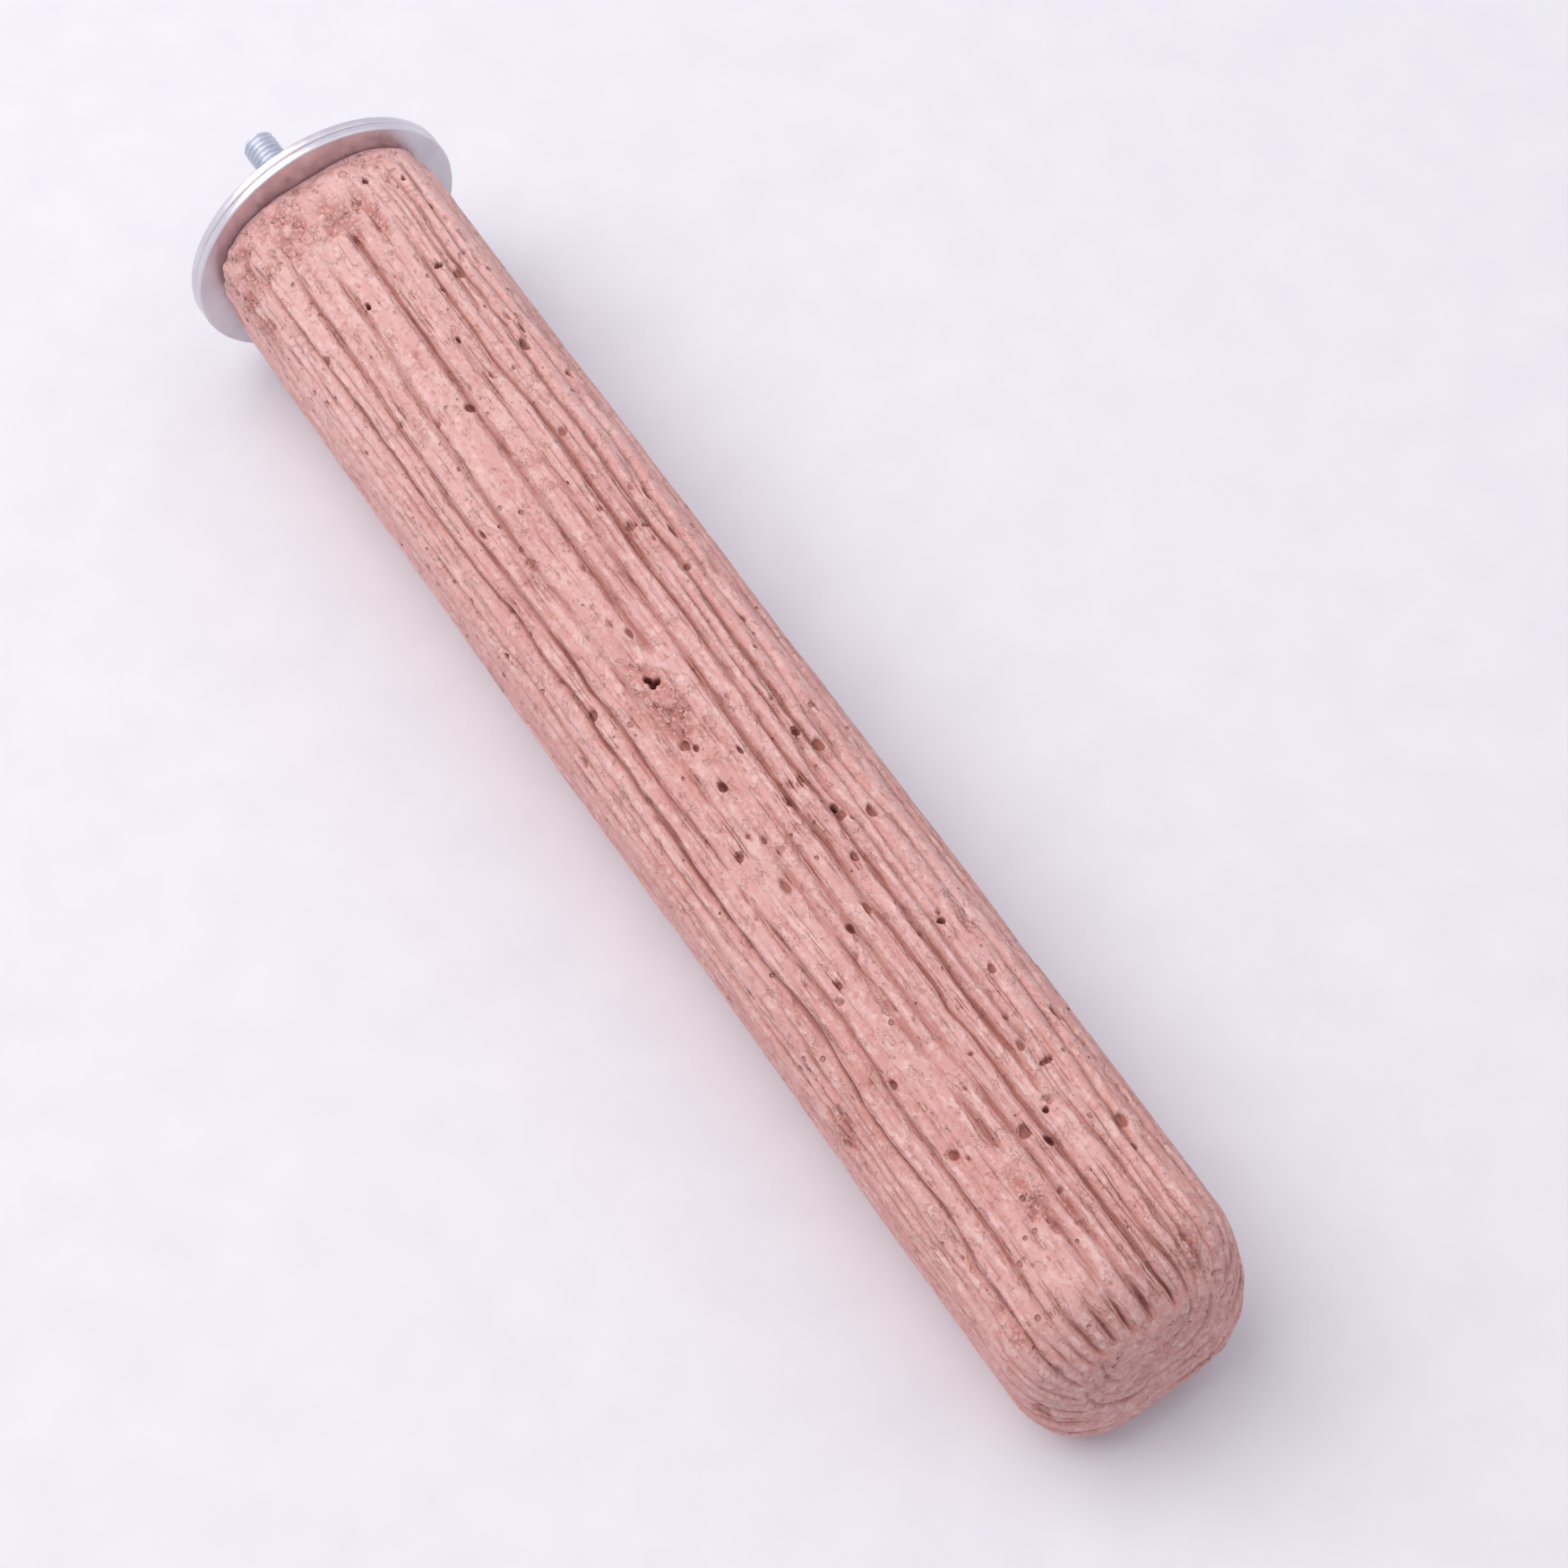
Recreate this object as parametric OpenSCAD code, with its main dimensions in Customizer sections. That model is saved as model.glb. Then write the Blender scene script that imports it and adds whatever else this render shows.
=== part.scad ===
// Bird perch: a cast cement bar with weathered wood grain, on an M6 stud that
// clamps a cage wall between two wide washers. Millimetres, +X along the bar
// away from the cage wall, +Z up, origin where the two washers meet.

/* [Cement bar] */
// Length of the bar on the stud's axis, from its seat on the inner washer
bar_l = 244; // [160:1:360]
// Width of the bar across its soft flats
bar_w = 42; // [34:0.1:60]
// Squareness of the section, 2 is round and larger is squarer
bar_power = 2.85; // [2:0.05:4]
// Turn of the section round the stud's axis, in degrees
bar_turn = 7.5; // [0:0.5:45]
// Rounding of the edge that meets the inner washer
seat_round = 2.8; // [1:0.1:8]
// Rounding of the edge of the free end
free_round = 11.5; // [3:0.1:14]
// How much shorter the bar is along its top than its underside
free_slant = 6; // [0:0.5:20]

/* [Wood grain] */
// Number of grooves round the sides and underside, between the seen ones
under_count = 20; // [8:1:28]
// Depth of the deepest grooves between ridges
groove_deep = 1.6; // [0:0.05:2]
// Height of the step between one ridge and the next
ridge_step = 0.45; // [0:0.05:1]
// Share of a ridge's width taken by each sloping flank
flank_share = 0.19; // [0.1:0.01:0.4]
// Length of the slow waves in the grain
grain_wave_l = 118; // [60:1:200]
// Length of the short ripples in the grain
grain_ripple_l = 47; // [30:1:90]
// Sideways sway of the waves on the sides and underside, in degrees round the bar
grain_sway = 2; // [0:0.5:8]

/* [Stud] */
// Outside diameter of the threaded stud, M6
stud_d = 6; // [4:0.1:10]
// Whole length of the stud
stud_l = 100; // [60:1:140]
// Length of stud in front of the clamp plane
stud_out = 23; // [18:0.5:40]
// Chamfer on the stud's free tip
stud_chamfer = 0.7; // [0.2:0.1:1.2]

/* [Clamp washers] */
// Diameter of the two clamp washers
washer_d = 50; // [40:0.5:80]
// Thickness of each clamp washer
washer_t = 1.5; // [1:0.1:4]
// Rounding of the washers' pressed edges
washer_edge = 0.35; // [0.1:0.05:0.45]
// Gap between the stud and a washer's hole, on the radius
washer_play = 0.2; // [0.1:0.05:0.6]

/* [Wing nut] */
// Diameter of the wing nut's hub at its base
hub_d = 13; // [11:0.1:18]
// Diameter of the hub at its top
hub_top_d = 9.6; // [8:0.1:10.5]
// Height of the hub
hub_h = 8; // [6:0.1:12]
// Height of the nut to the top of its wings
nut_h = 12.5; // [12.1:0.1:18]
// Width of the nut across its wings
wing_span = 28; // [24:0.5:40]
// Thickness of each wing
wing_t = 2.6; // [1.5:0.1:4]
// Diameter of each wing's round tip
wing_tip_d = 7; // [4:0.1:8]
// Height above the base where a wing leaves the hub
wing_root_h = 1.6; // [0.5:0.1:3]
// Countersink at the ends of a nut's bore
nut_sink = 0.5; // [0.2:0.1:1]
// Gap between the stud and a nut's bore, on the radius
thread_play = 0.05; // [0.02:0.01:0.1]

/* [Anchor in the cement] */
// Length of stud that stands past the anchor's last nut
anchor_tail = 3.4; // [1:0.1:6]
// Width of an anchor nut across its flats
anchor_nut_w = 10; // [10:0.1:16]
// Thickness of an anchor nut
anchor_nut_h = 5; // [3:0.1:5]
// Diameter of the anchor washer
anchor_washer_d = 18; // [16:0.5:28]
// Thickness of the anchor washer
anchor_washer_t = 1.6; // [0.8:0.1:1.6]

/* [Hidden] */
$fn = 96;

// How far a cut runs past the face it opens
overrun = 1;
seat_x = washer_t;
bar_r = bar_w / 2;
stud_r = stud_d / 2;
nut_bore_r = stud_r + thread_play;
washer_hole_r = stud_r + washer_play;
free_slope = free_slant / bar_w;
buried_end_x = stud_l - stud_out;
rear_nut_x = buried_end_x - anchor_tail - anchor_nut_h;
plate_x = rear_nut_x - anchor_washer_t;
front_nut_x = plate_x - anchor_nut_h;

// Rings along the straight stretch and round each end
span_rings = 30;
seat_rings = 3;
free_rings = 4;
// Mesh points for each ridge: its groove, then its two shoulders
ridge_points = 3;

// Places along the bar where the grooves seen on its upper side are given
station_shares = [0, 0.2, 0.4, 0.6, 0.8, 0.96, 1.02];
// Degrees round the bar of each of these grooves at the stations
seen_grooves = [
    [44, 42, 43, 44, 46, 46, 38],
    [56, 54, 56, 58, 57, 58, 47],
    [64, 64, 66, 66, 65, 66, 53],
    [68, 69, 71, 71, 72, 70, 60],
    [77, 76, 77, 78, 78, 78, 66],
    [86, 85, 88, 88, 87, 85, 76],
    [95, 98, 99, 99, 98, 96, 92],
    [105, 107, 107, 108, 108, 105, 108],
    [111, 115, 118, 117, 115, 115, 119],
    [120, 123, 124, 121, 121, 124, 130],
    [126, 129, 130, 128, 127, 130, 137],
    [140, 140, 138, 139, 138, 142, 155],
    [146, 147, 147, 146, 149, 151, 163],
    [154, 152, 153, 154, 154, 158, 171],
    [159, 160, 161, 160, 160, 163, 178]
];
// Shares of the full depth that each of these grooves has at the stations
seen_deep_shares = [
    [0.3, 0.5, 0.6, 0.6, 0.5, 0.5, 0.5],
    [0.3, 0.5, 0.5, 0.5, 0.6, 0.5, 0.5],
    [0.4, 0.8, 0.8, 0.6, 0.4, 0.6, 0.5],
    [0.3, 0.5, 0.4, 0.6, 0.6, 0.7, 0.5],
    [0.3, 0.8, 1, 0.8, 0.5, 0.8, 0.7],
    [0.3, 0.5, 0.7, 0.8, 0.9, 1, 1],
    [0.3, 0.8, 0.6, 0.5, 0.7, 0.7, 1],
    [0.3, 0.4, 0.4, 0.6, 0.6, 0.7, 1],
    [0.3, 0.7, 0.6, 0.4, 0.4, 0.5, 0.8],
    [0.4, 0.5, 0.4, 0.4, 0.4, 0.6, 0.8],
    [0.3, 0.7, 0.8, 0.6, 0.8, 0.6, 0.6],
    [0.3, 0.8, 0.9, 1, 1, 1, 0.8],
    [0.4, 0.5, 0.5, 0.6, 0.5, 0.4, 0.4],
    [0.4, 0.5, 0.6, 0.6, 0.5, 0.4, 0.4],
    [0.4, 0.5, 0.5, 0.6, 0.5, 0.4, 0.4]
];
seen_count = len(seen_grooves);
ridge_count = seen_count + under_count;
ring_points = ridge_count * ridge_points;
ring_count = span_rings + seat_rings + free_rings + 1;

// Shares of the sway, the spacing and the depth that parts of the grain take
ripple_share = 0.5;
uneven_share = 0.22;
under_deep_share = 0.85;
shallow_share = 0.45;
// Degrees of phase from one groove to the next, which keep neighbours unlike
uneven_phase = 137;
wave_phase = 97;
step_phase = 71;

// Radius of the soft-cornered section at an angle round the bar
function section_r(t) =
    let (a = t - bar_turn)
    bar_r / pow(pow(abs(cos(a)), bar_power) + pow(abs(sin(a)), bar_power), 1 / bar_power);

// Value at u along the bar of one row of a table, given at each station
function at_station(row, u) =
    lookup(u / bar_l, [for (i = [0 : len(row) - 1]) [station_shares[i], row[i]]]);

// Slow wave of a groove on the sides and underside
function under_wave(i, u) = sin(360 * u / grain_wave_l + wave_phase * i);

// Angle of a groove on the sides and underside
function under_t(i, u) =
    let (first = 360 + at_station(seen_grooves[0], u))
    let (last = at_station(seen_grooves[seen_count - 1], u))
    let (share = (i + 1 + uneven_share * sin(uneven_phase * i)) / (under_count + 1))
    let (ripple = sin(360 * u / grain_ripple_l - uneven_phase * i))
    last + share * (first - last) + grain_sway * (under_wave(i, u) + ripple_share * ripple);

// Angle of any groove, counted round the bar from the first seen one
function groove_t(i, u) =
    i < seen_count ? at_station(seen_grooves[i], u)
    : i < ridge_count ? under_t(i - seen_count, u)
    : 360 + at_station(seen_grooves[0], u);

// Depth of a groove at u along the bar
function groove_d(i, u) =
    groove_deep * (i < seen_count
        ? at_station(seen_deep_shares[i], u)
        : under_deep_share * (1 - shallow_share * (1 + under_wave(i - seen_count, u)) / 2));

// Drop of a ridge's first shoulder below its second
function step_d(i, u) =
    ridge_step * (1 + sin(360 * u / grain_wave_l - step_phase * i)) / 2;

// One point of a ring: angle and depth below the smooth section
function grain_point(j, u) =
    let (i = floor(j / ridge_points), part = j - i * ridge_points)
    let (t0 = groove_t(i, u), t1 = groove_t(i + 1, u))
    part == 0 ? [t0, groove_d(i, u)]
    : part == 1 ? [t0 + flank_share * (t1 - t0), step_d(i, u)]
    : [t1 - flank_share * (t1 - t0), 0];

// Place of a ring: [x on the axis, inset from the section, slant, grain, u], where
// slant and grain are the shares that the ring takes of each, and u is its place
// along the skin, from the seat and over the rounding of the free end
function ring_place(k) =
    let (span_x0 = seat_x + seat_round, span_x1 = seat_x + bar_l - free_round)
    k < seat_rings
    ? let (a = 90 * k / seat_rings, u = seat_round * (1 - cos(a)))
      [seat_x + u, seat_round * (1 - sin(a)), 0, sin(a), u]
    : k <= seat_rings + span_rings
    ? let (f = (k - seat_rings) / span_rings, x = span_x0 + f * (span_x1 - span_x0))
      [x, 0, pow(f, 3), 1, x - seat_x]
    : let (f = (k - seat_rings - span_rings) / free_rings, a = 90 * f)
      [span_x1 + free_round * sin(a), free_round * (1 - cos(a)), 1, 1 - pow(f, 3),
       bar_l - free_round + free_round * a * PI / 180];

function ring(k) =
    let (place = ring_place(k))
    [for (j = [0 : ring_points - 1])
        let (g = grain_point(j, place[4]))
        let (r = section_r(g[0]) - place[1] - place[3] * g[1])
        let (y = r * cos(g[0]), z = r * sin(g[0]))
        [place[0] - free_slope * place[2] * z, y, z]];

module bar_skin() {
    seat_centre = [seat_x, 0, 0];
    free_centre = [ring_place(ring_count - 1)[0], 0, 0];
    rings = [for (k = [0 : ring_count - 1]) each ring(k)];
    last = (ring_count - 1) * ring_points;
    centre = ring_count * ring_points;
    sides = [for (k = [0 : ring_count - 2], j = [0 : ring_points - 1])
        let (a = k * ring_points + j)
        let (b = k * ring_points + (j + 1) % ring_points)
        each [[a, a + ring_points, b + ring_points], [a, b + ring_points, b]]];
    ends = [for (j = [0 : ring_points - 1])
        let (next = (j + 1) % ring_points)
        each [[centre, j, next], [centre + 1, last + next, last + j]]];
    polyhedron(concat(rings, [seat_centre, free_centre]), concat(sides, ends), convexity = 8);
}

// Children drawn along +Z are laid along the bar from a place on its axis
module along_x(x) {
    translate([x, 0, 0]) rotate([0, 90, 0]) children();
}

// Children drawn along +Z point away from the bar, out through the cage wall
module outward(x) {
    translate([x, 0, 0]) rotate([0, -90, 0]) children();
}

module hex_prism(across, h) {
    cylinder(r = across / sqrt(3), h = h, $fn = 6);
}

// The space that the anchor and the buried stretch of stud fill in the cement
module anchor_space() {
    along_x(seat_x - overrun)
        cylinder(r = stud_r, h = buried_end_x - seat_x + overrun);
    along_x(front_nut_x) hex_prism(anchor_nut_w, anchor_nut_h);
    along_x(plate_x) cylinder(d = anchor_washer_d, h = anchor_washer_t);
    along_x(rear_nut_x) hex_prism(anchor_nut_w, anchor_nut_h);
}

module perch_body() {
    color("#cf9f95") difference() {
        bar_skin();
        anchor_space();
    }
}

module threaded_stud() {
    color("#a9b0bd") outward(buried_end_x) {
        cylinder(r = stud_r, h = stud_l - stud_chamfer);
        translate([0, 0, stud_l - stud_chamfer])
            cylinder(r1 = stud_r, r2 = stud_r - stud_chamfer, h = stud_chamfer);
    }
}

module anchor_nut() {
    difference() {
        hex_prism(anchor_nut_w, anchor_nut_h);
        translate([0, 0, -overrun])
            cylinder(r = nut_bore_r, h = anchor_nut_h + 2 * overrun);
    }
}

module front_anchor_nut() {
    color("#b9bec8") along_x(front_nut_x) anchor_nut();
}

module rear_anchor_nut() {
    color("#b9bec8") along_x(rear_nut_x) anchor_nut();
}

module anchor_washer() {
    color("#c4c8d0") along_x(plate_x) difference() {
        cylinder(d = anchor_washer_d, h = anchor_washer_t);
        translate([0, 0, -overrun])
            cylinder(r = washer_hole_r, h = anchor_washer_t + 2 * overrun);
    }
}

// Corner points of a rounded edge, from one angle to the next
function edge_arc(centre, a0, a1, steps = 4) =
    [for (s = [0 : steps])
        let (a = a0 + (a1 - a0) * s / steps)
        centre + washer_edge * [cos(a), sin(a)]];

module clamp_washer() {
    rim = washer_d / 2 - washer_edge;
    hole = washer_hole_r + washer_edge;
    low = washer_edge;
    high = washer_t - washer_edge;
    rotate_extrude() polygon(concat(
        edge_arc([rim, low], -90, 0),
        edge_arc([rim, high], 0, 90),
        edge_arc([hole, high], 90, 180),
        edge_arc([hole, low], 180, 270)
    ));
}

module inner_washer() {
    color("#c6c2cf") along_x(0) clamp_washer();
}

module outer_washer() {
    color("#c6c2cf") outward(0) clamp_washer();
}

// Point where a line from p touches a circle, on the side given by +1 or -1
function touch(p, centre, r, side) =
    let (d = centre - p, reach = norm(d))
    let (a = atan2(d[1], d[0]) + side * asin(r / reach))
    p + sqrt(reach * reach - r * r) * [cos(a), sin(a)];

module wing_blade() {
    tip_r = wing_tip_d / 2;
    tip = [wing_span / 2 - tip_r, nut_h - tip_r];
    root_r = (nut_bore_r + hub_top_d / 2) / 2;
    low_root = [root_r, wing_root_h];
    high_root = [root_r, hub_h - wing_root_h / 2];
    translate([0, wing_t / 2, 0]) rotate([90, 0, 0]) linear_extrude(wing_t) {
        polygon([
            low_root,
            touch(low_root, tip, tip_r, -1),
            tip,
            touch(high_root, tip, tip_r, 1),
            high_root
        ]);
        translate(tip) circle(r = tip_r);
    }
}

module wing_nut() {
    color("#aeb2ba") outward(-washer_t) rotate([0, 0, 90]) difference() {
        union() {
            cylinder(d1 = hub_d, d2 = hub_top_d, h = hub_h);
            for (side = [0, 180]) rotate([0, 0, side]) wing_blade();
        }
        translate([0, 0, -overrun])
            cylinder(r = nut_bore_r, h = hub_h + 2 * overrun);
        cylinder(r1 = nut_bore_r + nut_sink, r2 = nut_bore_r, h = nut_sink);
        translate([0, 0, hub_h - nut_sink])
            cylinder(r1 = nut_bore_r, r2 = nut_bore_r + nut_sink, h = nut_sink);
    }
}

perch_body();
threaded_stud();
front_anchor_nut();
anchor_washer();
rear_anchor_nut();
inner_washer();
outer_washer();
wing_nut();
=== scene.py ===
"""Bird perch: a bar of cast cement with weathered wood grain, on an M6 stud that
clamps a cage wall between two wide washers and a wing nut."""
import itertools
import math

import bpy
import numpy as np
from mathutils import Matrix, Vector


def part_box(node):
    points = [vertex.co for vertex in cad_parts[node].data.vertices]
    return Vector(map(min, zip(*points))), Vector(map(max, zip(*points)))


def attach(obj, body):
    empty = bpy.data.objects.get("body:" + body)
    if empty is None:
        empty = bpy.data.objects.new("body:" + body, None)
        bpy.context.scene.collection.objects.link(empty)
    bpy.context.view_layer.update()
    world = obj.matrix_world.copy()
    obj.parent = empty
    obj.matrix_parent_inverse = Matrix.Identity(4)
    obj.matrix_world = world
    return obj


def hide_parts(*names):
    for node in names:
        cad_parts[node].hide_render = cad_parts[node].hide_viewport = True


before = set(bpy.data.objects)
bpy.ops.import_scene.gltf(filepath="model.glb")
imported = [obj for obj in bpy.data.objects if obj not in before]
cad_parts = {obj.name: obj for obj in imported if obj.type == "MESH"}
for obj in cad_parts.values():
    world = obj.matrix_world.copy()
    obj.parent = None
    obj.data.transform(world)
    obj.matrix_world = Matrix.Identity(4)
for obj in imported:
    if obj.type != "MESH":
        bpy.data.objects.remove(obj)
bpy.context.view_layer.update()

MM = 0.001

# Sizes of the bar in mm, as the CAD part has them
BAR_L = 244
BAR_W = 42
BAR_POWER = 2.85
BAR_TURN = math.radians(7.5)
SEAT_ROUND = 2.8
FREE_ROUND = 11.5
FREE_SLANT = 6

# Sizes of the clamp hardware in mm
PITCH = 1
THREAD_DEPTH = 0.61
STUD_CHAMFER = 0.7
WASHER_EDGE = 0.35
WASHER_HOLE_R = 3.2
NUT_BORE_R = 3.05
HUB_R = 6.5
HUB_TOP_R = 4.8
HUB_H = 8
NUT_H = 12.5
NUT_SINK = 0.5
WING_SPAN = 28
WING_T = 2.6
WING_TIP_R = 3.5
WING_ROOT_H = 1.6
WING_ROOT_T = 3.4
THREAD_STEPS = 32

# The camera that took the photograph, in metres and in the bar's own frame
CAMERA_AT = Vector((0.3866, -0.1597, 0.5661))
CAMERA_RIGHT = Vector((0.54977, 0.83532, 0))
CAMERA_UP = Vector((-0.73636, 0.48464, 0.47212))
CAMERA_LENS = 92.57

# Strength of the world's light from the sides and from straight above
HORIZON_LIGHT = 0.12
ZENITH_LIGHT = 0.82

# How far the highest ridges lie under the smooth section, in mm
CREST_DEPTH = 0.06

# Points of a mesh nearer to each other than this are merged, in mm
MERGE_MM = 0.002

# The share of the cement's cells that have no small air hole
NO_HOLE = 0.45

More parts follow.
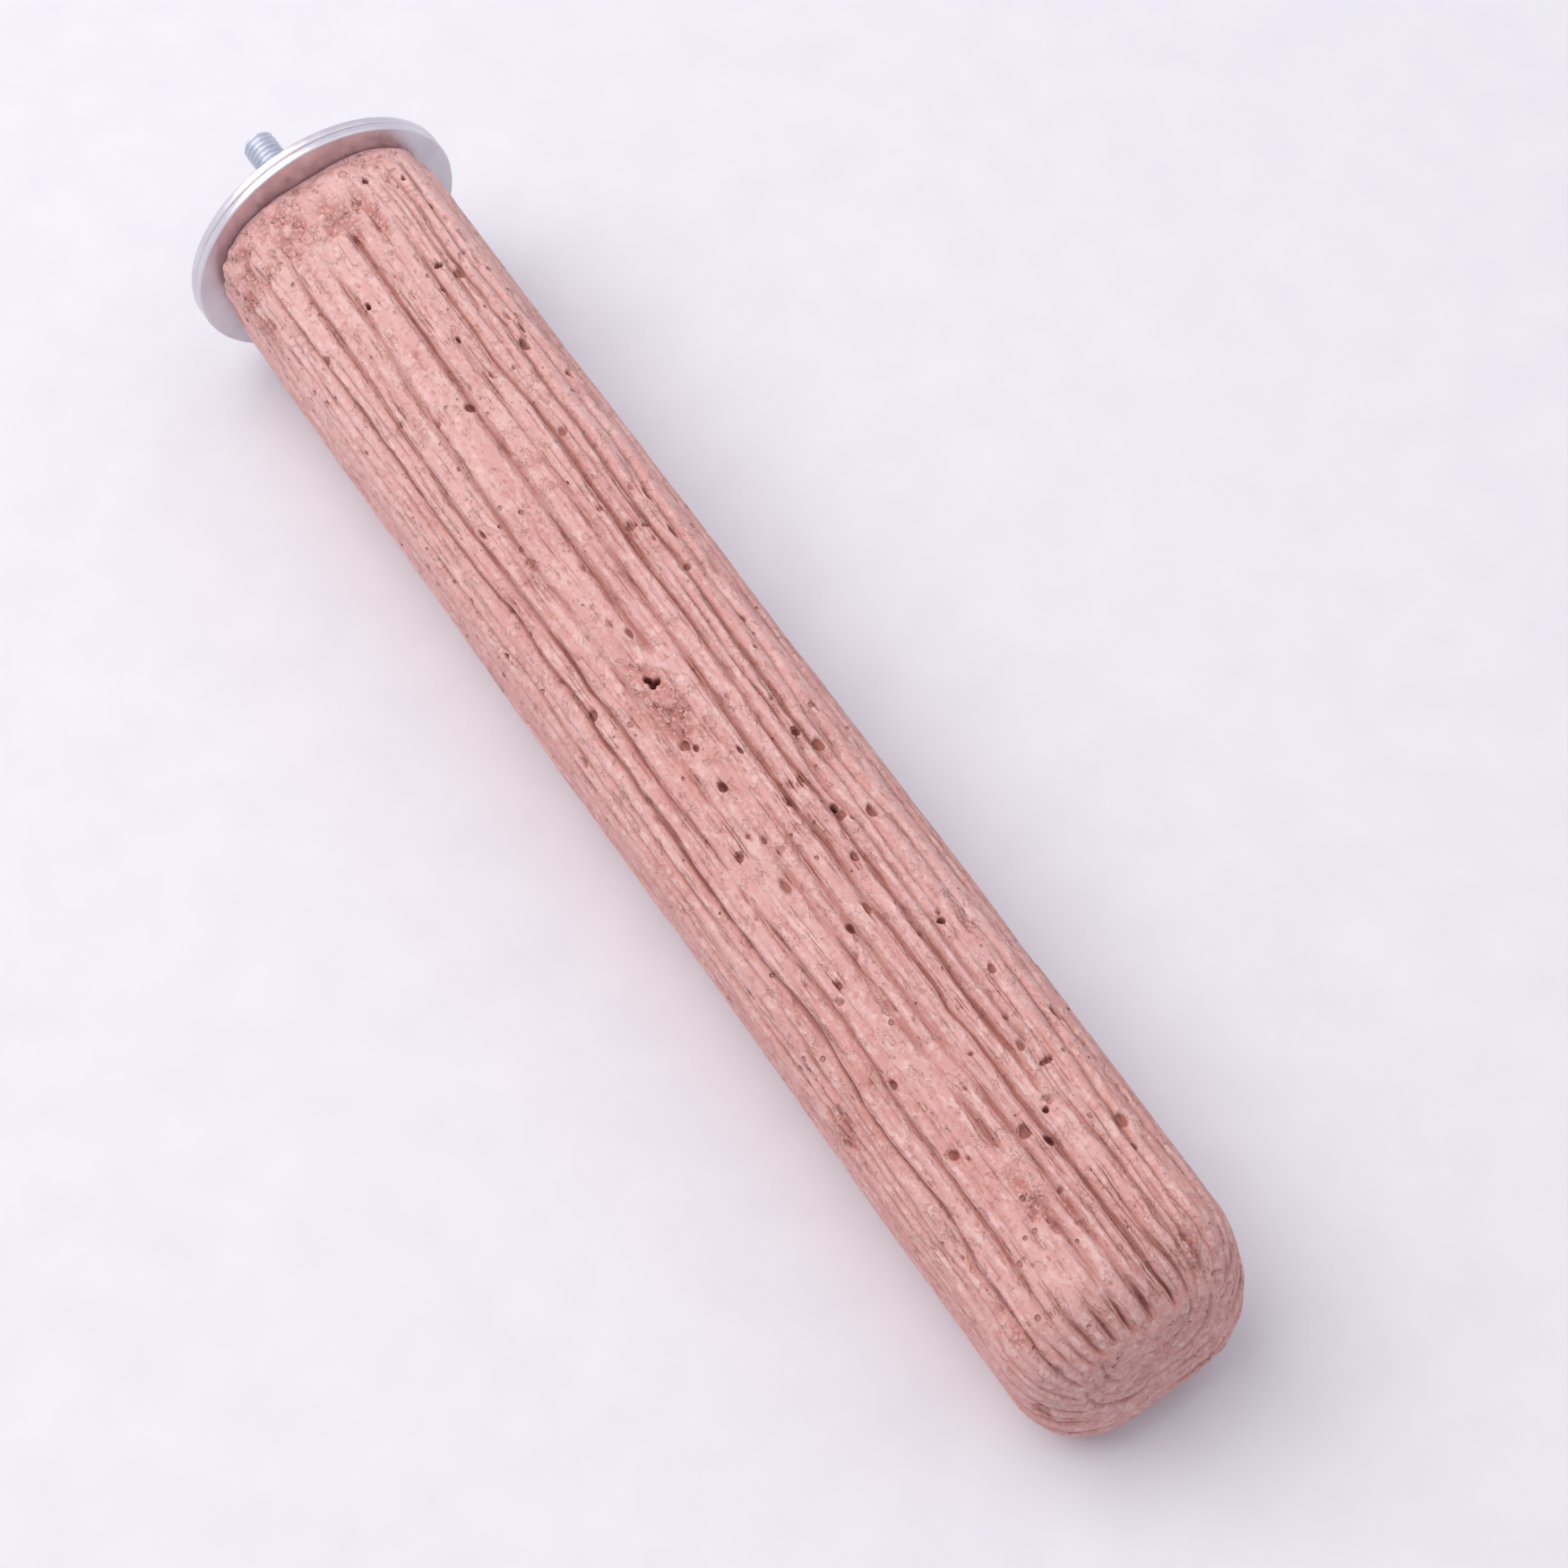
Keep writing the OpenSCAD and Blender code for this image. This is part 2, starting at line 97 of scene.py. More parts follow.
# Lines of the grain that the photograph shows, in order round the bar. Each has
# a lean, from -1 to 1, towards its gentler side, and then points: mm along the
# bar from its seat, mm round its skin from the +Y side over the top, and the
# depth of the groove there in mm.
TRACED_LINES = (
    (0, ((0, 17, 0.2), (60, 15.6, 0.4), (100, 16.5, 0.5), (125, 17.5, 0.6), (150, 16.6, 0.5),
         (175, 17.6, 0.3), (218, 18.1, 0.5), (236, 17.4, 0.4), (246, 14.5, 0.3))),
    (0.3, ((0, 21.6, 0.2), (15, 21.7, 0.5), (30, 21.9, 0.4), (45, 21.2, 0.3), (55, 20.9, 0.4),
         (76, 20.5, 0.5), (83, 21.4, 0.5), (98, 21.8, 0.5), (105, 22.2, 0.4), (115, 22, 0.4),
         (127, 22.6, 0.4), (134, 23.4, 0.5), (146, 23.5, 0.4), (155, 22.3, 0.4), (175, 21.9, 0.3),
         (182, 21.2, 0.4), (190, 21.6, 0.4), (210, 22.3, 0.5), (217, 23.3, 0.7),
         (228, 23.4, 0.5), (235, 23, 0.4), (240, 21, 0.4), (247, 18, 0.3))),
    (0.3, ((0, 25.2, 0.2), (12, 24.2, 0.5), (20, 24.5, 0.6), (28, 25, 0.8), (45, 24.7, 0.6),
            (52, 24.8, 0.7), (60, 25.2, 0.7), (68, 24.8, 0.7), (80, 25.4, 0.8), (90, 25.6, 0.8),
            (98, 25.3, 0.7), (110, 25.4, 0.8), (120, 25.9, 0.9), (137, 26, 0.8), (146, 25.6, 0.4),
            (163, 26, 0.5), (182, 25.6, 0.3), (205, 25.5, 0.2), (230, 25.8, 0.5),
            (236, 25.6, 0.6), (240, 24, 0.7), (247, 20.5, 0.3))),
    (0.2, ((0, 26.6, 0.1), (15, 25.9, 0.4), (24, 26.3, 0.5), (34, 26.7, 0.6), (43, 27.2, 0.5),
           (60, 27.4, 0.1), (73, 27, 0.4), (90, 27.5, 0.15), (105, 27.5, 0.4), (120, 28.3, 0.4),
           (130, 27.8, 0.5), (136, 28, 0.5), (141, 28.8, 0.6), (147, 29.1, 0.6), (153, 27.7, 0.5),
           (165, 28.1, 0.5), (182, 28, 0.6), (198, 27.7, 0.6), (207, 28.6, 0.3), (215, 28.1, 0.5),
           (219, 27.3, 0.5), (234, 27.4, 0.6), (241, 26.2, 0.5), (247, 23.5, 0.3))),
    (0.3, ((0, 30.4, 0.1), (12, 29.8, 0.2), (22, 29.3, 0.5), (30, 29.9, 0.8), (38, 29.9, 0.8),
            (51, 30.5, 0.7), (58, 29.7, 0.7), (68, 29.5, 0.9), (85, 30, 0.9), (95, 30.3, 1),
            (108, 30.3, 0.9), (126, 30.7, 0.5), (132, 31.2, 0.8), (140, 31.1, 0.8),
            (149, 30.3, 0.7), (160, 30.8, 0.7), (180, 30.6, 0.8), (192, 30.7, 0.9),
            (202, 30.6, 0.7), (210, 30.7, 0.2), (222, 30.4, 0.3), (230, 30.8, 0.6),
            (236, 30.5, 0.8), (241, 28.6, 0.9), (247, 26, 0.5))),
    (0, ((0, 32, 0.1), (60, 31.6, 0.15), (100, 32, 0.3), (128, 32.4, 0.15), (150, 33, 0.4),
         (160, 32.6, 0.4), (166, 32.6, 0.1), (181, 32.8, 0.4), (190, 32.4, 0.3), (212, 31.6, 0.3),
         (224, 32.2, 0.3), (240, 31, 0.2), (247, 28, 0.2))),
    (0.3, ((0, 33.6, 0.1), (20, 32.6, 0.3), (40, 33.1, 0.3), (44, 33.5, 0.6), (60, 33.4, 0.4),
            (80, 33.8, 0.45), (97, 34.3, 0.6), (113, 34.3, 0.5), (122, 34.7, 0.6),
            (126, 34.8, 0.9), (147, 34.9, 0.8), (154, 34.3, 0.8), (166, 34.9, 0.6),
            (171, 34.2, 0.9), (184, 34, 0.9), (188, 34.8, 0.8), (193, 34, 0.8), (208, 34, 0.9),
            (219, 33.5, 1), (234, 33.4, 1), (240, 32.8, 1), (247, 29.8, 1.1))),
    (0, ((0, 35.4, 0.1), (80, 35.6, 0.1), (110, 36.4, 0.1), (150, 36.6, 0.25), (168, 36, 0.2),
         (176, 36, 0.35), (200, 35.9, 0.35), (212, 36, 0.3), (222, 35.6, 0.4), (236, 35.2, 0.5),
         (241, 34.2, 0.4), (247, 32.2, 0.3))),
    (0.2, ((0, 36.8, 0.1), (14, 36.9, 0.3), (16.5, 36.9, 1.1), (22, 37.1, 0.8), (30, 37.3, 0.9),
            (50, 37.8, 0.7), (60, 38.1, 0.7), (82, 38.2, 0.6), (92, 38.4, 0.7), (108, 38.5, 0.7),
            (112, 38.3, 0.2), (138, 38.7, 0.25), (153, 38.6, 0.5), (166, 39.1, 0.7),
            (170, 38.6, 0.7), (195, 38.3, 0.5), (199, 38, 0.3), (203, 38, 0.9), (213, 37.8, 0.6),
            (226, 37.6, 0.7), (238, 37.3, 0.5), (243, 36.3, 1.2), (248, 36, 0.9))),
    (0.3, ((0, 40.6, 0.1), (25, 40.7, 0.2), (58, 41.9, 0.2), (80, 41.7, 0.4), (100, 41.5, 0.15),
           (130, 41.3, 0.15), (152, 42, 0.5), (168, 41.9, 0.5), (188, 41.9, 0.6), (197, 41.4, 0.2),
           (202, 41.3, 0.6), (208, 41.2, 1), (211, 41.3, 0.3), (221, 41.2, 0.3), (225, 40.8, 0.8),
           (234, 40.8, 0.6), (238, 41, 0.3), (244, 41.2, 1.4), (249, 41.6, 0.9))),
    (0.6, ((0, 42.8, 0.1), (15, 43.2, 0.3), (25, 43.6, 0.6), (32, 43.4, 0.6), (48, 44.8, 0.6),
           (65, 45.4, 0.6), (80, 45.7, 0.8), (92, 45.5, 0.5), (110, 45, 0.5), (130, 45.2, 0.4),
           (158, 45.3, 0.2), (185, 44.4, 0.2), (205, 44.6, 0.2), (222, 44, 0.3), (236, 44.7, 0.3),
           (243, 45.1, 1), (249, 46.2, 0.7))),
    (0, ((0, 46.4, 0.2), (12, 46.8, 0.3), (32, 47.1, 0.4), (50, 48.1, 0.4), (68, 48, 0.2),
         (95, 48.1, 0.3), (118, 47.2, 0.3), (165, 46.8, 0.3), (203, 46.5, 0.35), (212, 47.3, 0.3),
         (232, 47.9, 0.3), (242, 48.8, 0.9), (249, 50.4, 0.6))),
    (0.8, ((0, 48.6, 0.1), (14, 48.7, 0.5), (22, 49.4, 0.7), (40, 49.6, 0.6), (50, 50.1, 0.6),
           (72, 50.7, 0.7), (88, 50.4, 0.7), (103, 49.8, 0.8), (110, 50.3, 0.7), (115, 49.8, 0.8),
           (130, 50.3, 0.8), (142, 49.7, 0.5), (150, 49.8, 0.3), (170, 49, 0.6), (180, 48.7, 0.7),
           (196, 49.8, 0.7), (223, 49.7, 0.8), (237, 50.8, 0.4), (249, 53.5, 0.5))),
    (0, ((0, 52.4, 0.1), (52, 52.3, 0.3), (70, 52.6, 0.3), (85, 52.2, 0.15), (130, 52, 0.15),
         (152, 52.3, 0.3), (165, 51.3, 0.15), (188, 52.4, 0.3), (200, 52.6, 0.3), (225, 52.7, 0.2),
         (240, 54, 0.3), (249, 57, 0.3))),
    (0.9, ((0, 54.6, 0.1), (20, 54.6, 0.7), (30, 54.6, 0.7), (43, 54.3, 0.8), (62, 54.3, 0.8),
           (72, 54.5, 0.8), (86, 53.9, 0.8), (90, 53.1, 0.9), (94, 53.6, 0.8), (100, 54, 0.8),
           (107, 53.2, 0.8), (111, 53, 0.8), (114, 53.8, 1), (125, 53.6, 0.8), (128, 54, 0.9),
           (135, 53.6, 1), (148, 54.3, 1.1), (160, 54, 1), (166, 53.9, 1), (171, 53.2, 1.1),
           (176, 52.9, 1.2), (187, 53.9, 1.2), (192, 54.7, 1.2), (198, 54.8, 1.2), (210, 54, 1.1),
           (215, 53.8, 1), (222, 55.2, 1.1), (235, 55.2, 1), (239, 56.5, 1), (249, 61, 0.6))),
    (0.4, ((0, 57, 0.2), (20, 57, 0.3), (35, 57.6, 0.4), (65, 56.9, 0.3), (90, 57.4, 0.3),
           (112, 57, 0.3), (128, 57.2, 0.5), (150, 57.2, 0.5), (168, 56.7, 0.4), (176, 56.8, 0.5),
           (183, 58, 0.6), (190, 57.5, 0.2), (203, 58.2, 0.5), (216, 58.8, 0.4), (224, 58, 0.4),
           (235, 59, 0.3), (249, 64, 0.3))),
    (0.4, ((0, 60, 0.2), (22, 59.3, 0.3), (33, 58.9, 0.5), (40, 60, 0.4), (80, 60, 0.4),
           (92, 59.7, 0.5), (97, 58.8, 0.6), (107, 58.9, 0.5), (112, 59.6, 0.5), (116, 59, 0.5),
           (122, 60, 0.4), (146, 60.2, 0.6), (165, 60.5, 0.3), (195, 60.1, 0.5), (207, 60.6, 0.5),
           (217, 59.8, 0.4), (232, 61, 0.3), (249, 67, 0.3))),
    (0.2, ((0, 62, 0.2), (15, 62, 0.5), (30, 62.6, 0.3), (85, 63, 0.4), (130, 62.3, 0.4),
           (146, 62.6, 0.5), (200, 62.9, 0.5), (220, 62.6, 0.4), (236, 64, 0.3), (249, 70, 0.3))),
)

# Air holes and dents that the photograph shows: mm along, mm round, half the
# length, half the width and the depth
TRACED_PITS = (
    (28.7, 28.3, 0.5, 0.85, 1.8), (28.7, 42.2, 0.7, 0.4, 1.5), (9.5, 23.3, 0.6, 0.5, 0.9),
    (16.3, 21.8, 0.6, 0.5, 0.9), (7.3, 29.8, 0.6, 0.5, 1), (45.8, 22.1, 1.2, 0.45, 1.3),
    (49.2, 23.8, 1.3, 0.7, 1.3), (31.5, 25.8, 1.2, 0.9, 0.5), (42.8, 23.4, 1, 0.8, 0.4),
    (28.9, 23.6, 1, 0.7, 0.4), (55.2, 38.7, 0.9, 0.8, 1), (43, 33.4, 0.6, 0.3, 0.9),
    (31.3, 53.8, 1, 0.8, 0.5), (48.3, 58.7, 0.5, 0.5, 0.6), (35.5, 60, 0.5, 0.4, 0.7),
    (69, 66.5, 0.9, 1.6, 1.6), (57, 19.3, 1.1, 0.7, 0.8), (67.6, 28.3, 0.9, 0.8, 0.6),
    (76.5, 29.2, 0.7, 0.4, 0.3), (89, 28.7, 0.9, 1, 0.6), (89.8, 26.4, 0.6, 0.9, 0.4),
    (92.8, 22.9, 1.4, 0.6, 1.4), (84.5, 22.3, 1.7, 0.7, 0.6), (82.3, 24.3, 0.8, 0.6, 0.5),
    (99.8, 24.7, 0.7, 0.6, 0.6), (75.6, 49.4, 0.9, 0.4, 0.7), (113.8, 41.8, 0.7, 0.6, 2.2),
    (114.6, 40.7, 0.6, 0.6, 2.1), (115, 41.7, 0.6, 0.45, 1.9),
    (105.2, 39.6, 1.1, 0.6, 0.6), (112.5, 52.7, 1.1, 1.1, 0.6), (112.2, 21.9, 0.7, 0.5, 0.6),
    (92.8, 60.5, 0.8, 0.6, 1), (116, 60.3, 1.2, 0.8, 0.5), (84.5, 66.5, 0.6, 1.3, 1.5),
    (126.7, 43.2, 1.3, 0.95, 0.6), (128.3, 42, 0.6, 0.5, 0.6), (123.8, 33.1, 0.6, 0.5, 0.4),
    (131.8, 21.1, 1.3, 0.5, 1.1), (134.7, 27.1, 0.8, 0.7, 1.4), (138.3, 25.1, 1.3, 0.85, 0.9),
    (136.4, 42.3, 0.95, 0.7, 1.2), (132.7, 36.6, 0.9, 0.35, 0.8), (149.4, 29.9, 0.65, 0.6, 2.2),
    (150.9, 29.7, 1, 0.9, 0.7), (152.8, 24.9, 1.4, 0.65, 1.1), (144.3, 35.4, 1.2, 0.6, 0.5),
    (142.3, 33.5, 0.9, 0.7, 0.4), (142.3, 31.6, 0.9, 0.6, 0.4), (158.3, 32.1, 1.1, 0.5, 0.8),
    (154.5, 31.5, 0.9, 0.6, 0.4), (167.8, 39.4, 0.9, 0.6, 1), (166.6, 35.4, 1.3, 0.5, 0.5),
    (174.7, 26.8, 0.55, 0.75, 2.2), (156.2, 43.6, 1.5, 0.8, 0.6), (147.5, 46.7, 0.9, 0.8, 0.6),
    (147.6, 42, 0.8, 0.6, 0.4), (150.8, 40.8, 0.6, 0.8, 0.4), (163.7, 61, 1.3, 1, 0.9),
    (174.5, 46, 0.7, 0.6, 0.5), (176.6, 47.5, 0.9, 0.7, 0.5), (180.5, 62.7, 0.7, 0.5, 0.8),
    (185.5, 24.7, 1, 0.7, 0.7), (203.1, 26.9, 0.6, 1.2, 0.9), (199, 28.9, 1, 0.9, 0.6),
    (209.8, 31.9, 0.55, 0.55, 1.2), (208.8, 30.4, 0.9, 0.7, 0.4), (210.8, 36.5, 1.2, 0.95, 0.8),
    (214, 34.3, 1, 0.55, 1.4), (192.5, 48.3, 0.9, 0.55, 0.8), (207.2, 47.3, 1, 0.9, 0.6),
    (216.8, 22.1, 1.4, 1, 0.8), (221.5, 23.4, 0.7, 0.5, 0.9), (196, 19.2, 1.7, 1, 0.9),
)

# Crumbled patches that the photograph shows, with the same five values
TRACED_CRUMBS = (
    (118.5, 42, 11, 3.3, 0.45), (12, 38, 6.5, 4, 0.3), (8, 47, 7, 5, 0.3),
    (13, 32.4, 6, 2.4, 0.25), (12, 62, 10, 4.5, 0.3), (8, 55, 7, 4, 0.25), (85, 46.8, 4.5, 2, 0.2),
    (225.5, 37.6, 4.5, 1.1, 0.4), (221, 41.9, 8, 1.8, 0.25), (240, 25, 4, 3, 0.2),
    (190.5, 61.5, 6, 4, 0.15), (176, 23.2, 5, 1.2, 0.25), (232, 57, 5, 2, 0.2),
)

# Lines of the grain on the sides out of sight, which the CAD part shares: how many,
# the lengths of their waves in mm, and the sway of the waves in degrees
HIDDEN_LINES = 20
WAVE_L = 118
RIPPLE_L = 47
SWAY = 2
RIPPLE_SHARE = 0.5
UNEVEN_SHARE = 0.22
SHALLOW_SHARE = 0.45
UNEVEN_PHASE = 137
DEPTH_PHASE = 97

# The sheet that becomes the skin starts and ends on this line, under the bar
SEAM_LINE = 28

# Numbers of air holes and crumbled patches on the sides out of sight, and of the
# shallow dents on the upper side that are too small to trace
HIDDEN_PITS = 95
HIDDEN_CRUMBS = 7
SMALL_DENTS = 80
HIDDEN_SEED = 41

# The air holes are cut wider and deeper than their shading suggests by these factors
PIT_WIDER = 1.2
PIT_DEEPER = 1.25

# The grooves are cut deeper than their shading suggests by this factor
DEEPER = 1.5

# A groove is a narrow core between wider slopes: half the core's width in mm, its
# share of the depth, and how far from the middle an edge may crumble away
CORE_W = 0.5
CORE_SHARE = 0.58
LIP_W = 1.5

# Depths in mm of the short cracks between the grooves, of the streaks, lumps, grit
# and swells all over the skin, and of its flakes
CRACK_DEPTH = 0.42
STREAK_DEPTH = 0.045
LUMP_DEPTH = 0.05
GRIT_DEPTH = 0.02
SWELL_DEPTH = 0.05
FLAKE_DEPTH = 0.12

# The wear at the seat, in mm: most at one corner, whose place round the bar and reach
# come next, and then the depth of the bites out of the edge
CORNER_WEAR = 1.6
CORNER_PLACE = 25
CORNER_REACH = 9
BITE_DEPTH = 0.9

# Layers across the free end: they hang below its top edge like nested bows, at these
# distances in mm below a point of the face, each with its depth
LAYER_TOP_Z = 14
LAYER_NARROW = 1.38
LAYER_POWER = 2.6
LAYERS = (
    (5, 0.3), (8, 0.45), (11, 0.3), (13.6, 0.5), (16.4, 0.35), (19, 0.6), (21.6, 0.35),
    (24, 0.55), (26.6, 0.35), (29, 0.5), (31.6, 0.4), (34, 0.35))


def smooth(a):
    """Rises from 0 to 1 as a does, gently at both ends."""
    a = np.clip(a, 0, 1)
    return a * a * (3 - 2 * a)


def waves(seed, *axes, repeat=64):
    """Smooth random waves from -1 to 1, one a unit; the last axis repeats."""
    shape = (64,) * (len(axes) - 1) + (repeat,)
    table = np.random.default_rng(seed).uniform(-1, 1, shape)
    cells = [np.floor(a).astype(int) for a in axes]
    shares = [smooth(a - c) for a, c in zip(axes, cells)]
    total = 0
    for corner in itertools.product((0, 1), repeat=len(axes)):
        weight = 1
        index = []
        for cell, share, step, count in zip(cells, shares, corner, shape):
            weight = weight * (share if step else 1 - share)
            index.append((cell + step) % count)
        total = total + weight * table[tuple(index)]
    return total


# The smooth bar, before its grain: a place on its skin is u mm along a line from
# the middle of the seat to the middle of the free end, and s mm round it

ANGLES = np.linspace(0, 2 * math.pi, 3601)


def section_radius(t):
    """Radius in mm of the soft-cornered section, at angle t from +Y towards +Z."""
    a = t - BAR_TURN
    sides = np.abs(np.cos(a)) ** BAR_POWER + np.abs(np.sin(a)) ** BAR_POWER
    return BAR_W / 2 / sides ** (1 / BAR_POWER)


def arc_lengths():
    """Length in mm round the section from +Y to each of ANGLES."""
    y = section_radius(ANGLES) * np.cos(ANGLES)
    z = section_radius(ANGLES) * np.sin(ANGLES)
    return np.concatenate(([0], np.cumsum(np.hypot(np.diff(y), np.diff(z)))))


ARCS = arc_lengths()
ROUND = ARCS[-1]
SEAT_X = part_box("inner_washer")[1].x / MM
FREE_U = BAR_L - FREE_ROUND
SEAT_FACE = 16
FREE_FACE = 10
SEAT_EDGE_U = SEAT_ROUND - SEAT_ROUND * math.pi / 2
FREE_EDGE_U = FREE_U + FREE_ROUND * math.pi / 2
CREST_U = BAR_L + 3
FIRST_U = SEAT_EDGE_U - SEAT_FACE
LAST_U = FREE_EDGE_U + FREE_FACE


def smooth_bar(u, s):
    """Points in mm of the smooth bar's skin."""
    t = np.interp(np.mod(s, ROUND), ARCS, ANGLES)
    seat_turn = np.clip((u - SEAT_ROUND) / SEAT_ROUND + math.pi / 2, 0, math.pi / 2)
    free_turn = np.clip((u - FREE_U) / FREE_ROUND, 0, math.pi / 2)
    x = SEAT_ROUND * (1 - np.cos(seat_turn)) + FREE_ROUND * np.sin(free_turn)
    x = x + np.clip(u - SEAT_ROUND, 0, FREE_U - SEAT_ROUND)
    inset = SEAT_ROUND * (1 - np.sin(seat_turn)) + FREE_ROUND * (1 - np.cos(free_turn))
    face = np.clip((u - FIRST_U) / SEAT_FACE, 0, 1) * np.clip((LAST_U - u) / FREE_FACE, 0, 1)
    radius = (section_radius(t) - inset) * face
    y = radius * np.cos(t)
    z = radius * np.sin(t)
    slant = np.clip((x - SEAT_ROUND) / (FREE_U - SEAT_ROUND), 0, 1) ** 3
    return np.stack((SEAT_X + x - slant * FREE_SLANT / BAR_W * z, y, z), -1)


def outward(u, s):
    """Directions that point straight out of the smooth bar's skin."""
    step = 0.05
    along = smooth_bar(u + step, s) - smooth_bar(u - step, s)
    across = smooth_bar(u, s + step) - smooth_bar(u, s - step)
    normal = np.cross(across, along)
    poles = np.stack((np.sign(u - BAR_L / 2), 0 * u, 0 * u), -1)
    normal = normal + 1e-7 * poles
    return normal / np.linalg.norm(normal, axis=-1, keepdims=True)


# The grain: lines along the bar with a place and a groove depth at each step

LINE_STEP = 0.25
LINE_U = np.arange(FIRST_U, LAST_U + LINE_STEP, LINE_STEP)


def softened(values, reach):
    """Values along a line, each averaged with those within reach mm."""
    count = int(reach / LINE_STEP)
    kernel = np.hanning(2 * count + 3)
    padded = np.pad(values, count + 1, mode="edge")
    return np.convolve(padded, kernel / kernel.sum(), mode="valid")


def angle_at(s):
    """Angle round the bar from +Y at s mm round its skin."""
    return np.interp(s, ARCS, ANGLES)


def grain_lines():
    """Places, depths and leans of all lines of the grain, in order round the bar."""
    places = []
    depths = []
    leans = []
    for lean, points in TRACED_LINES:
        along, place, depth = np.transpose(points)
        places.append(softened(np.interp(LINE_U, along, place), 2.5))
        depths.append(softened(np.interp(LINE_U, along, depth), 1.5))
        leans.append(lean)
    rng = np.random.default_rng(HIDDEN_SEED)
    first = angle_at(places[0]) + 2 * math.pi
    last = angle_at(places[-1])
    for i in range(HIDDEN_LINES):
        uneven = UNEVEN_SHARE * math.sin(math.radians(UNEVEN_PHASE * i))
        share = (i + 1 + uneven) / (HIDDEN_LINES + 1)
        slow = np.sin(2 * math.pi * LINE_U / WAVE_L + math.radians(DEPTH_PHASE * i))
        quick = np.sin(2 * math.pi * LINE_U / RIPPLE_L - math.radians(UNEVEN_PHASE * i))
        angle = last + share * (first - last) + math.radians(SWAY) * (slow + RIPPLE_SHARE * quick)
        places.append(np.interp(angle, np.append(ANGLES, ANGLES[1:] + ANGLES[-1]),
                                np.append(ARCS, ARCS[1:] + ROUND)))
        depth = 1 - SHALLOW_SHARE * (1 + slow) / 2 - 0.35 * (1 + waves(300 + i, LINE_U / 13)) / 2
        depths.append(rng.uniform(0.75, 1.1) * depth)
        leans.append(rng.uniform(-0.9, 0.9))
    for i in range(1, len(places)):
        places[i] = np.maximum(places[i], places[i - 1] + 0.5)
    for i, place in enumerate(places):
        place += 0.07 * waves(400 + i, LINE_U / 3.1) + 0.06 * waves(500 + i, LINE_U / 1.4)
    seat_fade = 0.55 + 0.45 * smooth((LINE_U - 1) / 7)
    free_fade = smooth((CREST_U + 1.5 - LINE_U) / 3.5)
    depths = [DEEPER * depth * seat_fade * free_fade for depth in depths]
    return np.stack(places, -1), np.stack(depths, -1), np.array(leans)


PLACES, DEPTHS, LEANS = grain_lines()
LINES = len(LEANS)


def at_line(table, u, line):
    """Values of a table of lines at places u along the bar."""
    row = np.clip((u - FIRST_U) / LINE_STEP, 0, len(LINE_U) - 1.001)
    low = row.astype(int)
    share = row - low
    column = np.mod(line, LINES)
    return table[low, column] * (1 - share) + table[low + 1, column] * share


def line_place(u, line):
    """Places in mm round the bar of a line counted on past the last one."""
    return at_line(PLACES, u, line) + np.floor_divide(line, LINES) * ROUND


def round_place(u, v):
    """mm round the bar of column v, where v counts lines and crowds near them."""
    line = np.floor(v).astype(int)
    share = v - line
    share = share - 0.5 * np.sin(2 * math.pi * share) / (2 * math.pi)
    start = line_place(u, line)
    return start + share * (line_place(u, line + 1) - start)


def ridge_level(u, line):
    """How far a ridge's flat top lies under its highest neighbours, in mm."""
    return 0.16 * (1 + waves(600, u / 33, np.mod(line, LINES) * 1.0, repeat=LINES))


def groove_depth(u, v, s):
    """Depth in mm of the grooves and of the steps between ridges, of the grooves'
    narrow cores alone, and of their lips, which say where an edge may crumble."""
    line = np.floor(v).astype(int)
    cores = 0
    ramps = 0
    lips = 0
    for near in (-1, 0, 1, 2):
        index = np.mod(line + near, LINES)
        off = s - line_place(u, line + near)
        gentle = 0.5 * (1 + LEANS[index] * np.sign(off))
        width = CORE_W * (1 + 0.35 * waves(650, u / 4, index * 1.0, repeat=LINES))
        deep = at_line(DEPTHS, u, line + near)
        cores = cores + deep * np.exp(-np.abs(off / width) ** 2.5)
        ramps = ramps + deep * np.clip(1 - np.abs(off) / (0.6 + 2.1 * gentle), 0, 1) ** 1.3
        lips = np.maximum(lips, deep * np.clip(1 - np.abs(off) / LIP_W, 0, 1))
    level = ridge_level(u, line)
    before = smooth(0.5 + (s - line_place(u, line)) / 0.6)
    after = smooth(0.5 + (s - line_place(u, line + 1)) / 0.6)
    level = ridge_level(u, line - 1) * (1 - before) + level * before
    level = level * (1 - after) + ridge_level(u, line + 1) * after
    fade = smooth((u + 1) / 6) * smooth((CREST_U + 1 - u) / 4)
    return CORE_SHARE * cores + (1 - CORE_SHARE) * ramps + level * fade, cores, lips


def crack_depth(u, v):
    """Depth in mm of short fine cracks that run between the main grooves."""
    depth = 0
    for k, crowd in enumerate((2, 3)):
        across = v * crowd + 0.25 * waves(660 + k, u / 6, v * crowd, repeat=LINES * crowd)
        column = np.floor(across)
        off = np.abs(across - column - 0.5) * 4 / crowd
        along = waves(670 + k, u / 9, column, repeat=LINES * crowd)
        present = smooth(2.5 * along - 0.4)
        depth = np.maximum(depth, present * np.exp(-(off / 0.2) ** 2))
    return CRACK_DEPTH * depth * smooth((u - 2) / 6) * smooth((CREST_U - u) / 6)


def apart(s, place):
    """Signed mm round the bar from a place to s, the short way."""
    return np.mod(s - place + ROUND / 2, ROUND) - ROUND / 2


def scattered(seed, count, first_s, last_s, sizes, depths):
    """Places and sizes of spots at random between two lines along the bar."""
    rng = np.random.default_rng(seed)
    spots = []
    for _ in range(count):
        u = rng.uniform(4, BAR_L - 4)
        s = rng.uniform(first_s, last_s)
        size = rng.uniform(*sizes) * rng.uniform(0.8, 1)
        spots.append((u, s, size * rng.uniform(0.8, 1.6), size, rng.uniform(*depths)))
    return spots


